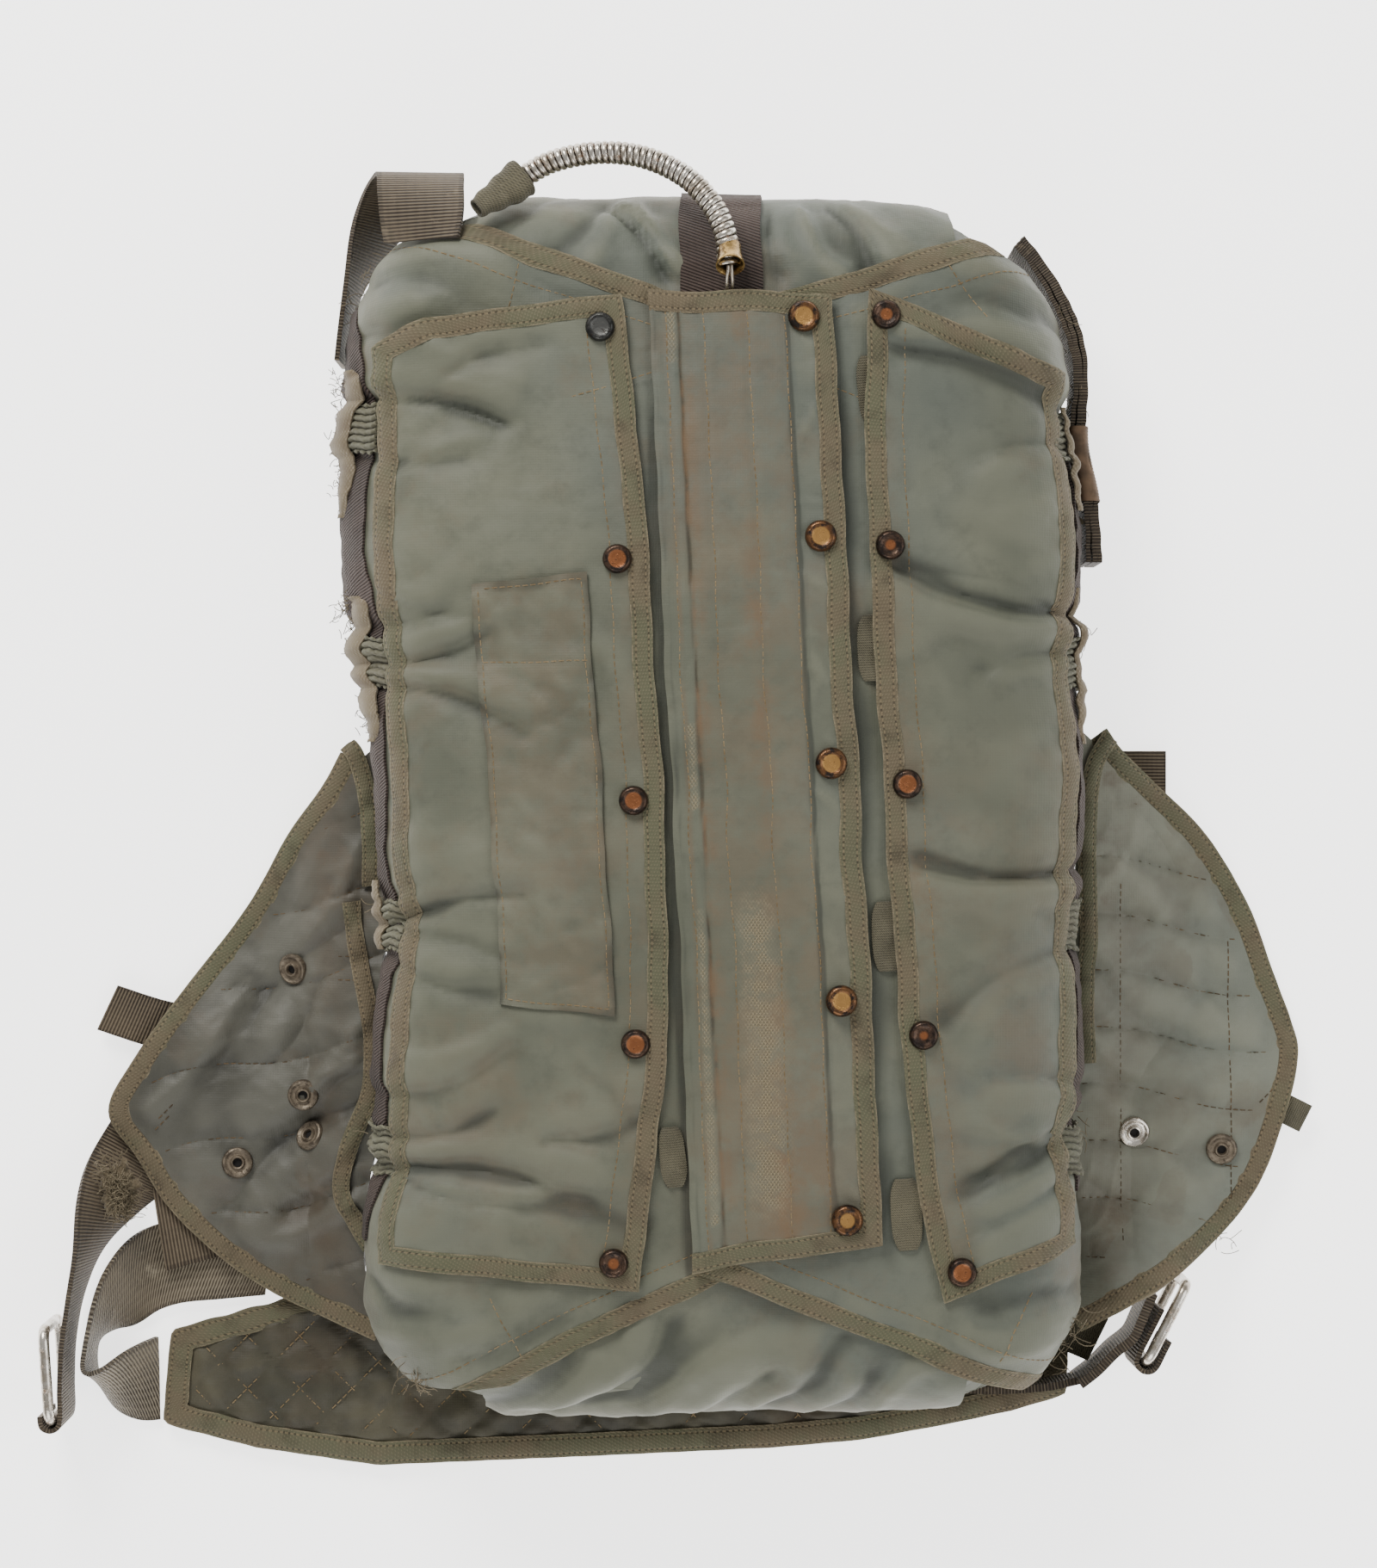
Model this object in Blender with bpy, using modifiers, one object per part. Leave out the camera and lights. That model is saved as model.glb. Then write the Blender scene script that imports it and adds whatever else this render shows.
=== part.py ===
"""A packed back-style parachute, lying on its back pad with its closing flaps up.

Metres. +Z is up, +Y points to the shoulder end and +X to the reader's right when the
flaps are read from above. The origin is on the surface that the back pad lies on,
under the middle of the pack.
"""

from math import ceil, copysign, cos, exp, hypot, pi, radians, sin, sqrt

import bmesh
import bpy
from mathutils import Vector

MM = 0.001

# The filled pack
PACK_HALF_WIDTH = 0.174
PACK_HALF_LENGTH = 0.303
PACK_TOP = 0.104
CROWN = 0.014
CORNER_RADIUS = 0.075
SHOULDER_RADIUS = 0.038
FOOT_RADIUS = 0.010
WAIST_DEPTH = 0.013
WAIST_Y = -0.055
WAIST_REACH = 0.150
TOP_CORNER_PULL = 0.026
BOTTOM_PULL = 0.008
LEFT_FLARE = 0.004
UPPER_FLARE = 0.009
GATHER_DEPTH = 0.0048
GATHER_REACH = 0.024
GATHER_START = 0.050
GATHER_FULL = 0.150

# What lies under the pack
PAD_THICKNESS = 0.0082
PAD_TAPE = 0.0040
QUILT_DIAMOND = 0.0191
QUILT_PUFF = 0.0024
PACK_BASE = 0.0115

# Cloth, tapes and the lift of each layer's middle above the filled pack
CLOTH = 0.0015
TAPE = 0.0026
TAPE_WIDTH = 0.010
GAP = 0.0004
END_FLAP_LIFT = 0.0022
CENTRE_WEB_LIFT = 0.0043
SIDE_FLAP_LIFT = 0.0049
FLAP_OVERLAP_LIFT = 0.0033
PANEL_LIFT = 0.0086
COVER_LIFT = 0.0117
COVER_DROP = 0.0024
CORNER_EASE = 0.0020
TAPE_STEP = 0.018
CELLS = (0.028, 0.015)
END_FLAP_CELLS = (0.0305, 0.012)
CENTRE_WEB = 0.0018
CENTRE_WEB_CELLS = (0.020, 0.010)
LABEL = 0.0010

# Bands, webbing and hardware
BAND_WIDTH = 0.023
BAND_THICKNESS = 0.0022
BAND_ROWS = (0.190, 0.074, -0.056, -0.168)
BAND_ENDS = (0.1695, 0.1735)
BAND_STATIONS = (0.179, 0.188, 0.197, 0.206, 0.214, 0.226, 0.238, 0.247, 0.2515, 0.2559)
BAND_OVER_WEB = (0.2130, 0.2260)
BAND_UNDER_BASE = (0.2460, 0.2559)
SIDE_WEB_THICKNESS = 0.0020
SIDE_WEB_LIFT = 0.0025
SIDE_WEB_EDGES = (0.2135, 0.2370)
SIDE_WEB_START = 0.214
SIDE_WEB_STEP = 0.012
SIDE_WEB_ROWS = 38
WEBBING = 0.0026
WING_THICKNESS = 0.0042
WING_TAPE = 0.0048
WING_ROOT_TOPS = {"left": 0.032, "right": 0.044}
WING_ROOT_LENGTH = 0.300
WING_ROOT_DROP = 0.006
WING_CLEARANCE = 0.0085
WING_COLUMNS = 5
WING_ROOT_LIFT = 0.020
WING_ROOT_REACH = 0.036
WING_LOW_LIFT = 0.0111
WING_LIFTS_FROM = (0.060, 0.095)
WING_ROW = 0.038
WING_ROW_SLOPES = (0.22, -0.06)
WING_PUFF = 0.0024
WING_PUFF_WIDTHS = (0.015, 0.080)
CAP_RADIUS = 0.0076
CAP_HEIGHT = 0.0036
SOCKET_RADIUS = 0.0078
SOCKET_HEIGHT = 0.0022
SOCKET_HOLE = 0.0018
SOCKET_WALL = 0.0010
SOCKET_LIFT = 0.0007
RIM_WAYS = ((-0.006, 0.0), (0.0, -0.006), (0.006, 0.0), (0.0, 0.006))
CONDUIT_RADIUS = 0.0056
RING_WIRE = 0.0028

# Lengths measured over the pack, from the middle of its top outwards
CORE_HALF_WIDTH = PACK_HALF_WIDTH - CORNER_RADIUS
CORE_HALF_LENGTH = PACK_HALF_LENGTH - CORNER_RADIUS
FLAT_REACH = CORNER_RADIUS - SHOULDER_RADIUS
SHOULDER_REACH = FLAT_REACH + SHOULDER_RADIUS * pi / 2
WALL_REACH = SHOULDER_REACH + PACK_TOP - SHOULDER_RADIUS - FOOT_RADIUS - PACK_BASE
FULL_REACH = WALL_REACH + FOOT_RADIUS * pi / 2
WALL_FOOT = CORE_HALF_WIDTH + WALL_REACH

# Outlines over the pack in millimetres, (across, along), anticlockwise
LEFT_FLAP = (
    (-212, 272), (-212, -252), (-172, -292), (-104, -284), (9, -226),
    (9, 238), (-34, 257), (-118, 285), (-190, 285),
)
LEFT_FLAP_BOUND = (3, 7)
RIGHT_FLAP = (
    (-10, 236), (-10, -226), (150, -292), (200, -266), (212, -248), (212, 238),
    (168, 275), (126, 284), (18, 250),
)
RIGHT_FLAP_BOUND = (7, 11)
LEFT_PANEL = (
    (-168, 228), (-168, -224), (-40, -236), (-27, -120), (-28, -10), (-37, 140),
    (-49, 252), (-143, 240),
)
RIGHT_PANEL = (
    (72, 257), (69, 186), (72, 127), (78, 19), (86, -99), (97, -191), (109, -241),
    (172, -214), (172, 222),
)
COVER = ((-36, 254), (-13, -225), (79, -211), (53, 252))
COVER_BOUND = (1, 4)
TOP_END_FLAP = ((-119, 212), (121, 212), (121, 376), (-119, 376))
BOTTOM_END_FLAP = ((-121, -376), (123, -376), (123, -212), (-121, -212))
CENTRE_WEB_OUTLINE = ((-20, 253), (20, 253), (20, 374), (-20, 374))
LABEL_OUTLINE = ((-124, 110), (-114, -94), (-54, -99), (-66, 116))

# Snap caps in millimetres over the pack, one row for each bound edge
CAP_ROWS = {
    "left": ((-59, 236), (-51, 123), (-44, 6), (-43, -112), (-53, -221)),
    "cover": ((40, 241), (48, 134), (53, 24), (58, -91), (61, -199)),
    "right": ((81, 243), (82, 130), (90, 14), (98, -108), (117, -226)),
}
# Snap sockets on the wings in millimetres, in plan
SOCKETS = {
    "left": ((-219, -81), (-213, -145), (-210, -166), (-247, -180)),
    "right": ((212, -164), (257, -173)),
}

# Outer edges of the quilted parts in millimetres, in plan
LEFT_WING_EDGE = (
    (-193, 30), (-203, 12), (-221, -12), (-242, -48), (-275, -92), (-300, -127),
    (-313, -154), (-298, -178), (-282, -203), (-255, -229), (-224, -249),
    (-193, -262), (-176, -270),
)
RIGHT_WING_EDGE = (
    (197, 42), (206, 30), (223, 14), (250, -12), (272, -48), (285, -83), (294, -108),
    (297, -126), (290, -154), (277, -189), (258, -214), (232, -234), (203, -251),
    (184, -263),
)
BACK_PAD = (
    (-160, -235), (-281, -268), (-285, -314), (-238, -326), (-176, -335), (-69, -330.5),
    (28, -326), (73, -322), (117, -314), (150, -307), (177, -299), (178, -270),
    (150, -235),
)
# Its plain part under the pack, narrowing from the quilted part to the shoulder end
PAD_REACH = 0.250
PAD_NARROWING = 0.80

# The webbing up the right wall: lengths from the pack's core, rows and turns of its corner
RISER_RIGHT_REACH = (0.139, 0.097)
RISER_RIGHT_ROWS = (0.126, 0.142, 0.160, 0.177, 0.194, 0.211, 0.228)
RISER_RIGHT_TURNS = (8, 16, 24, 32, 40, 48)
RISER_RIGHT_LIFT = 0.0142

# Where a wing lies over a strap: x, y, reach and rise in millimetres
WING_RISES = ((221, -252, 36, 41.6), (219, 6, 34, 2.5))

# Straps: x, y, z of the middle, then the heading and tilt of the width, in mm and degrees
RISER_LOOP = (
    (-147, 281, 99, 0, 30), (-147, 295, 100, 0, 14), (-148, 308, 93, 0, 4),
    (-149, 316, 80, 0, -4), (-153, 316, 64, 0, -14), (-163, 306, 50, 0, -38),
    (-176, 288, 43, 0, -66), (-185, 266, 42, 0, -84), (-190, 244, 42, 0, -90),
    (-192, 226, 42, 0, -90),
)
LEG_STRAP_LEFT = (
    (-292, -166, 8.6, 150, 2), (-302, -182, 7.5, 152, 12), (-312, -200, 19, 160, 48),
    (-321, -222, 27, 170, 78), (-328, -246, 28, 180, 88), (-332, -270, 28, 180, 90),
    (-333, -292, 28, 180, 90), (-332.7, -305, 28, 180, 90), (-334, -310.4, 28, 180, 90),
    (-338, -312.2, 28, 180, 90), (-342, -310.2, 28, 180, 90), (-343, -305, 28, 180, 90),
)
LAP_STRAP_LEFT = (
    (-232, -228, 3.1, 84, 0), (-256, -230, 3.1, 88, 0), (-278, -232, 3.3, 92, 0),
    (-294, -237, 4.9, 98, 4), (-306, -247, 14, 104, 34), (-315, -259, 22, 108, 68),
    (-321, -273, 24, 100, 88), (-321, -286, 24, 92, 82), (-313, -294, 21, 92, 58),
    (-301, -294, 13, 92, 28), (-289, -292, 4.5, 92, 4),
)
THIGH_STRAP_LEFT = (
    (-236, -201, 6, 105, 0), (-254, -206, 7, 104, 0), (-270, -210, 8, 102, 0),
    (-281, -213, 9.5, 100, 0), (-288, -215, 9.5, 99, 0),
)
LEG_STRAP_RIGHT = (
    (182, -290, 24, 110, 88), (191, -283, 24, 118, 88), (200, -274, 24, 130, 88),
    (208.8, -266.8, 24, 140, 88), (212.8, -258.8, 24.4, 150, 88), (216.2, -250.4, 25.6, 150, 88),
    (219, -243.5, 26.7, 150, 88),
)
RING_STRAP_RIGHT = (
    (223, -251.6, 24.5, 0, 88), (217.1, -263.2, 24.5, 0, 88), (210.7, -275.7, 24.5, 0, 88),
    (210.4, -279.8, 24.5, 0, 88), (213.1, -282.9, 24.5, 0, 88), (217.2, -283.2, 24.5, 0, 88),
    (220.3, -280.6, 24.5, 0, 88), (223.9, -273.5, 24.5, 0, 88), (226.7, -268, 24.5, 0, 88),
)
TAB_LEFT = ((-278, -112, 5.6, 68, 0), (-294, -108, 6.4, 67, 0), (-315, -101, 7, 65, 0))
LOOP_RIGHT = ((219, -4, 3.6, 0, 0), (219, 14, 3.8, 0, 0), (219, 31, 4, 0, 0))
STRAP_WIDTH = 0.043

# Straps: name, stations, thickness, width and pieces between two stations
STRAPS = (
    ("riser_loop", RISER_LOOP, WEBBING, STRAP_WIDTH, 3),
    ("leg_strap_left", LEG_STRAP_LEFT, WEBBING, STRAP_WIDTH, 2),
    ("lap_strap_left", LAP_STRAP_LEFT, WEBBING, STRAP_WIDTH, 2),
    ("thigh_strap_left", THIGH_STRAP_LEFT, WEBBING, STRAP_WIDTH, 2),
    ("leg_strap_right", LEG_STRAP_RIGHT, 2 * WEBBING, STRAP_WIDTH, 2),
    ("ring_strap_right", RING_STRAP_RIGHT, WEBBING, 0.036, 2),
    ("wing_tab_left", TAB_LEFT, WEBBING, 0.025, 2),
    ("wing_loop_right", LOOP_RIGHT, WEBBING, 0.022, 2),
)

# Rings: name, x, y, z of the middle, heading, length, height, corner radius
RINGS = (
    ("ring_left", -0.3390, -0.2840, 0.0282, 94, 0.046, 0.0500, 0.007),
    ("ring_right", 0.2255, -0.2585, 0.0245, 63, 0.044, 0.0425, 0.007),
)

# Conduit: x, y, z of its middle in millimetres, from the sleeve to the bell mouth
CONDUIT = (
    (-97.1, 312.4, 97.4), (-82, 319.5, 101), (-60, 323, 105), (-38, 320, 110), (-18, 310, 115),
    (-5, 296, 119), (2, 280, 122), (3, 265, 122),
)
SLEEVE = ((-118, 296, 109, 127, 0), (-109, 303, 103, 127, 0), (-100, 310, 97.6, 127, 0))
SLEEVE_SIZE = (0.0130, 0.017)

COLOURS = {
    "sage": ((0.165, 0.185, 0.150), 0.72, 0.0),
    "tape": ((0.175, 0.160, 0.120), 0.85, 0.0),
    "quilt": ((0.135, 0.145, 0.125), 0.78, 0.0),
    "dark quilt": ((0.060, 0.064, 0.050), 0.80, 0.0),
    "webbing": ((0.125, 0.100, 0.078), 0.80, 0.0),
    "edge webbing": ((0.130, 0.110, 0.108), 0.80, 0.0),
    "elastic": ((0.150, 0.160, 0.130), 0.85, 0.0),
    "cap": ((0.090, 0.050, 0.032), 0.35, 0.8),
    "socket": ((0.110, 0.095, 0.085), 0.45, 0.7),
    "steel": ((0.420, 0.390, 0.350), 0.32, 1.0),
}


def clamp(value, limit):
    return max(-limit, min(limit, value))


def smooth(value, start, end):
    """0 before start, 1 after end, with an even ramp between."""
    share = max(0.0, min(1.0, (value - start) / (end - start)))
    return share * share * (3 - 2 * share)


def metres(points):
    return [tuple(value * MM for value in point) for point in points]


# Surface of the filled pack


def shell_frame(core, outward, reach):
    """Point and normal of a plain rounded box, reach away from its flat core."""
    if reach <= FLAT_REACH:
        turn, out, height = 0.0, reach, PACK_TOP
    elif reach <= SHOULDER_REACH:
        turn = (reach - FLAT_REACH) / SHOULDER_RADIUS
        out = FLAT_REACH + SHOULDER_RADIUS * sin(turn)
        height = PACK_TOP - SHOULDER_RADIUS * (1 - cos(turn))
    elif reach <= WALL_REACH:
        turn, out = pi / 2, CORNER_RADIUS
        height = PACK_TOP - SHOULDER_RADIUS - (reach - SHOULDER_REACH)
    else:
        foot = min((reach - WALL_REACH) / FOOT_RADIUS, pi / 2)
        turn = pi / 2 + foot
        out = CORNER_RADIUS - FOOT_RADIUS * (1 - cos(foot))
        height = PACK_BASE + FOOT_RADIUS * (1 - sin(foot))
    point = Vector((core[0] + outward[0] * out, core[1] + outward[1] * out, height))
    normal = Vector((outward[0] * sin(turn), outward[1] * sin(turn), cos(turn)))
    return point, normal


def shaped(point, normal, lift):
    """The rounded box's point crowned, gathered at the bands, drawn in and lifted."""
    across = point.x / PACK_HALF_WIDTH
    along = point.y / PACK_HALF_LENGTH
    crown = CROWN * max(0.0, 1 - across * across) * max(0.0, 1 - along * along)
    crown *= (point.z - PACK_BASE) / (PACK_TOP - PACK_BASE)
    pull = sum(exp(-(((point.y - row) / GATHER_REACH) ** 2)) for row in BAND_ROWS)
    gather = GATHER_DEPTH * pull * smooth(abs(point.x), GATHER_START, GATHER_FULL)
    foot_free = smooth(point.z, PACK_BASE, PACK_BASE + 2 * FOOT_RADIUS)
    placed = point + normal * (lift - gather * foot_free)
    placed.z += crown
    waist = WAIST_DEPTH * exp(-(((point.y - WAIST_Y) / WAIST_REACH) ** 2))
    placed.x += waist * max(0.0, -across) ** 1.5
    flare = LEFT_FLARE + UPPER_FLARE * smooth(point.y, 0.030, 0.120)
    flare *= smooth(PACK_TOP - point.z, 0.0, 0.055) * smooth(1 - abs(along), 0.05, 0.40)
    placed.x -= flare * max(0.0, -across)
    placed.y += BOTTOM_PULL * max(0.0, -along) ** 4
    corner = max(0.0, across) * max(0.0, along)
    placed.x -= TOP_CORNER_PULL * corner**3 / sqrt(2)
    placed.y -= TOP_CORNER_PULL * corner**3 / sqrt(2)
    return placed


def pack_frame(across, along, lift=0.0):
    """Point and normal at a length across and along, both measured over the pack."""
    core = (clamp(across, CORE_HALF_WIDTH), clamp(along, CORE_HALF_LENGTH))
    away = (across - core[0], along - core[1])
    reach = hypot(*away)
    outward = (away[0] / reach, away[1] / reach) if reach > 0 else (1.0, 0.0)
    point, normal = shell_frame(core, outward, reach)
    return shaped(point, normal, lift), normal


def corner_ease(across, along):
    """The outer layers stand a little clearer where they turn the pack's corners."""
    return CORNER_EASE * smooth(abs(across), 0.088, 0.112) * smooth(abs(along), 0.232, 0.262)


def left_flap_lift(across, along):
    return SIDE_FLAP_LIFT + corner_ease(across, along)


def panel_lift(across, along):
    return PANEL_LIFT + corner_ease(across, along)


def right_flap_lift(across, along):
    """The right flap climbs over the left one where they overlap."""
    climb = FLAP_OVERLAP_LIFT * (1 - smooth(across, 0.014, 0.056))
    return left_flap_lift(across, along) + climb


def cover_lift(across, along):
    """The cover lies highest over the overlap and comes down at both edges."""
    return COVER_LIFT - COVER_DROP * smooth(abs(across - 0.020), 0.025, 0.055)


def over_pack(lift):
    """A function that puts a length across and along onto the pack at this lift."""

    def place(across, along):
        height = lift(across, along) if callable(lift) else lift
        return pack_frame(across, along, height)[0]

    return place


# Making objects


def material(kind):
    name = kind.replace(" ", "_")
    if name in bpy.data.materials:
        return bpy.data.materials[name]
    colour, roughness, metallic = COLOURS[kind]
    made = bpy.data.materials.new(name)
    made.use_nodes = True
    shader = made.node_tree.nodes["Principled BSDF"]
    shader.inputs["Base Color"].default_value = (*colour, 1.0)
    shader.inputs["Roughness"].default_value = roughness
    shader.inputs["Metallic"].default_value = metallic
    return made


def add_object(name, data, kind):
    made = bpy.data.objects.new(name, data)
    PARTS.objects.link(made)
    if not data.materials:
        data.materials.append(material(kind))
    return made


def finish_mesh(name, bm, kind):
    mesh = bpy.data.meshes.new(name)
    bmesh.ops.recalc_face_normals(bm, faces=bm.faces)
    bm.to_mesh(mesh)
    bm.free()
    mesh.shade_smooth()
    mesh.set_sharp_from_angle(angle=radians(40))
    return add_object(name, mesh, kind)


def thicken(obj, thickness):
    shell = obj.modifiers.new("Thickness", "SOLIDIFY")
    shell.thickness = thickness
    shell.offset = 0.0
    return obj


def line_normal(start, end):
    """Unit normal to the left of a straight piece."""
    along = (end[0] - start[0], end[1] - start[1])
    length = hypot(*along)
    return (-along[1] / length, along[0] / length)


def inset(points, distances):
    """A closed outline moved inwards, each straight piece by its own distance."""
    moved = []
    count = len(points)
    for i in range(count):
        before, here, after = points[i - 1], points[i], points[(i + 1) % count]
        sides = ((before, here, distances[i - 1]), (here, after, distances[i]))
        lines = []
        for start, end, distance in sides:
            side = line_normal(start, end)
            shift = (side[0] * distance, side[1] * distance)
            lines.append([Vector((p[0] + shift[0], p[1] + shift[1])) for p in (start, end)])
        moved.append(corner_of(lines))
    return moved


def corner_of(lines):
    """Where two straight pieces meet when both are carried on."""
    (a, b), (c, d) = lines
    first, second = b - a, d - c
    cross = first.x * second.y - first.y * second.x
    if abs(cross) < 0.05 * first.length * second.length:
        return tuple((b + c) / 2)
    share = ((c.x - a.x) * second.y - (c.y - a.y) * second.x) / cross
    return tuple(a + first * share)


def divided(points, step, closed=True):
    """The same outline with a point at least every step, its corners kept."""
    count = len(points)
    made = []
    for i in range(count if closed else count - 1):
        start, end = points[i], points[(i + 1) % count]
        pieces = max(1, ceil(hypot(end[0] - start[0], end[1] - start[1]) / step))
        for k in range(pieces):
            share = k / pieces
            made.append(tuple(s + (e - s) * share for s, e in zip(start, end)))
    return made if closed else made + [tuple(points[-1])]


def rounded_line(points, steps):
    """A smooth open line through points, with steps pieces between two of them."""
    ends = [points[0], *points, points[-1]]
    made = []
    for a, b, c, d in zip(ends, ends[1:], ends[2:], ends[3:]):
        for k in range(steps):
            t = k / steps
            made.append(
                tuple(
                    0.5 * (2 * q + (r - p) * t + (2 * p - 5 * q + 4 * r - s) * t * t
                           + (3 * q - p - 3 * r + s) * t**3)
                    for p, q, r, s in zip(a, b, c, d)
                )
            )
    return made + [tuple(points[-1])]


# Cloth and tape


def lattice(outline, room, cell_across, cell_along):
    """Flat cloth on one shared lattice, cut inside a convex anticlockwise outline."""
    low = [min(p[i] for p in outline) for i in (0, 1)]
    high = [max(p[i] for p in outline) for i in (0, 1)]
    cells = (cell_across, cell_along)
    first = [int(low[i] // cells[i]) for i in (0, 1)]
    count = [int(high[i] // cells[i]) + 1 - first[i] for i in (0, 1)]
    bm = bmesh.new()
    bmesh.ops.create_grid(bm, x_segments=count[0], y_segments=count[1], size=0.5)
    for vert in bm.verts:
        vert.co.x = (first[0] + (vert.co.x + 0.5) * count[0]) * cell_across
        vert.co.y = (first[1] + (vert.co.y + 0.5) * count[1]) * cell_along
    for start, end, distance in zip(outline, [*outline[1:], outline[0]], room):
        side = line_normal(start, end)
        bmesh.ops.bisect_plane(
            bm,
            geom=[*bm.verts, *bm.edges, *bm.faces],
            plane_co=(start[0] + side[0] * distance, start[1] + side[1] * distance, 0.0),
            plane_no=(-side[0], -side[1], 0.0),
            clear_outer=True,
        )
    bmesh.ops.remove_doubles(bm, verts=bm.verts, dist=0.0016)
    return bm


def cloth_piece(name, outline, lift, kind="sage", thickness=CLOTH, cells=CELLS, room=None):
    """A cloth cut flat, laid over the pack and given its thickness."""
    bm = lattice(outline, room or [0.0] * len(outline), *cells)
    place = over_pack(lift)
    for vert in bm.verts:
        vert.co = place(vert.co.x, vert.co.y)
    return thicken(finish_mesh(name, bm, kind), thickness)


def strip(name, outer, inner, place, thickness, kind, closed):
    """A tape between two lines of the same count, laid by place."""
    count = len(outer)
    pieces = count if closed else count - 1
    bm = bmesh.new()
    bmesh.ops.create_grid(bm, x_segments=pieces, y_segments=1, size=0.5)
    for vert in bm.verts:
        i = round((vert.co.x + 0.5) * pieces) % count
        vert.co = place(*(inner if vert.co.y > 0 else outer)[i])
    if closed:
        bmesh.ops.remove_doubles(bm, verts=bm.verts, dist=0.00001)
    return thicken(finish_mesh(name, bm, kind), thickness)


def bound_cloth(name, outline, lift, bound=None, tape_name=None):
    """A cloth and the tape sewn over its bound edges, bound being (first, last) corner."""
    count = len(outline)
    first, last = bound or (0, count)
    taped = {i % count for i in range(first, last)}
    tape = [TAPE_WIDTH if i in taped else 0.0 for i in range(count)]
    room = [TAPE_WIDTH + GAP if i in taped else 0.0 for i in range(count)]
    cloth_piece(name, outline, lift, room=room)
    inner = inset(outline, tape)
    whole = bound is None
    order = range(count) if whole else [i % count for i in range(first, last + 1)]
    pairs = divided([(*outline[i], *inner[i]) for i in order], TAPE_STEP, whole)
    strip(
        tape_name or name + "_binding",
        [p[:2] for p in pairs],
        [p[2:] for p in pairs],
        over_pack(lift),
        TAPE,
        "tape",
        whole,
    )


# Sub-parts


def make_pack_body():
    """The filled container: a closed pillow with a flat base."""
    cells_across, cells_along, cells_corner = 6, 28, 8
    bm = bmesh.new()
    count = (cells_across + 2 * cells_corner, cells_along + 2 * cells_corner)
    bmesh.ops.create_grid(bm, x_segments=count[0], y_segments=count[1], size=0.5)
    halves = (CORE_HALF_WIDTH, CORE_HALF_LENGTH)
    cores = (cells_across, cells_along)
    for vert in bm.verts:
        core, ring = [0.0, 0.0], [0.0, 0.0]
        for axis in (0, 1):
            index = round((vert.co[axis] + 0.5) * count[axis]) - cells_corner
            inside = max(0, min(cores[axis], index))
            core[axis] = (2 * inside / cores[axis] - 1) * halves[axis]
            ring[axis] = index - inside
        steps = max(abs(ring[0]), abs(ring[1]))
        reach = pack_reach(steps / cells_corner)
        small, large = sorted((abs(ring[0]), abs(ring[1])))
        angle = pi / 4 * small / large if large else 0.0
        if abs(ring[1]) > abs(ring[0]):
            angle = pi / 2 - angle
        outward = (copysign(cos(angle), ring[0]), copysign(sin(angle), ring[1]))
        point, normal = shell_frame(core, outward, reach)
        vert.co = shaped(point, normal, 0.0)
    rim = [edge for edge in bm.edges if edge.is_boundary]
    bmesh.ops.holes_fill(bm, edges=rim, sides=0)
    return finish_mesh("pack_body", bm, "sage")


def pack_reach(share):
    """Reach from the core, with most of the steps spent on the shoulder."""
    shoulder = ((0.0, 0.0), (0.125, FLAT_REACH), (0.625, SHOULDER_REACH))
    stops = (*shoulder, (0.75, WALL_REACH), (1.0, FULL_REACH))
    for (before, low), (after, high) in zip(stops, stops[1:]):
        if share <= after:
            return low + (high - low) * (share - before) / (after - before)
    return FULL_REACH


def make_flaps():
    for end, outline in (("top", TOP_END_FLAP), ("bottom", BOTTOM_END_FLAP)):
        cloth_piece(f"{end}_end_flap", metres(outline), END_FLAP_LIFT, cells=END_FLAP_CELLS)
    cloth_piece(
        "centre_web",
        metres(CENTRE_WEB_OUTLINE),
        CENTRE_WEB_LIFT,
        "edge webbing",
        CENTRE_WEB,
        CENTRE_WEB_CELLS,
    )
    bound_cloth("side_flap_left", metres(LEFT_FLAP), left_flap_lift, LEFT_FLAP_BOUND)
    bound_cloth("side_flap_right", metres(RIGHT_FLAP), right_flap_lift, RIGHT_FLAP_BOUND)


def make_panels():
    bound_cloth("outer_panel_left", metres(LEFT_PANEL), panel_lift)
    bound_cloth("outer_panel_right", metres(RIGHT_PANEL), panel_lift)
    bound_cloth("ripcord_cover", metres(COVER), cover_lift, COVER_BOUND)
    label_lift = PANEL_LIFT + (CLOTH + LABEL) / 2 + GAP
    cloth_piece("label_patch", metres(LABEL_OUTLINE), label_lift, "sage", LABEL)


def turned(name, profile, kind):
    """A mesh turned round Z from a closed profile of (radius, height)."""
    bm = bmesh.new()
    verts = [bm.verts.new((radius, 0.0, height)) for radius, height in profile]
    for start, end in zip(verts, verts[1:]):
        bm.edges.new((start, end))
    mesh = bpy.data.meshes.new(name)
    bm.to_mesh(mesh)
    bm.free()
    mesh.materials.append(material(kind))
    return mesh


def add_turned(name, mesh, steps, place, normal, kind):
    made = add_object(name, mesh, kind)
    made.location = place
    made.rotation_mode = "QUATERNION"
    made.rotation_quaternion = normal.to_track_quat("Z", "Y")
    screw = made.modifiers.new("Turn", "SCREW")
    screw.steps = steps
    screw.render_steps = steps
    screw.use_merge_vertices = True
    screw.merge_threshold = 0.00001
    return made


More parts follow.
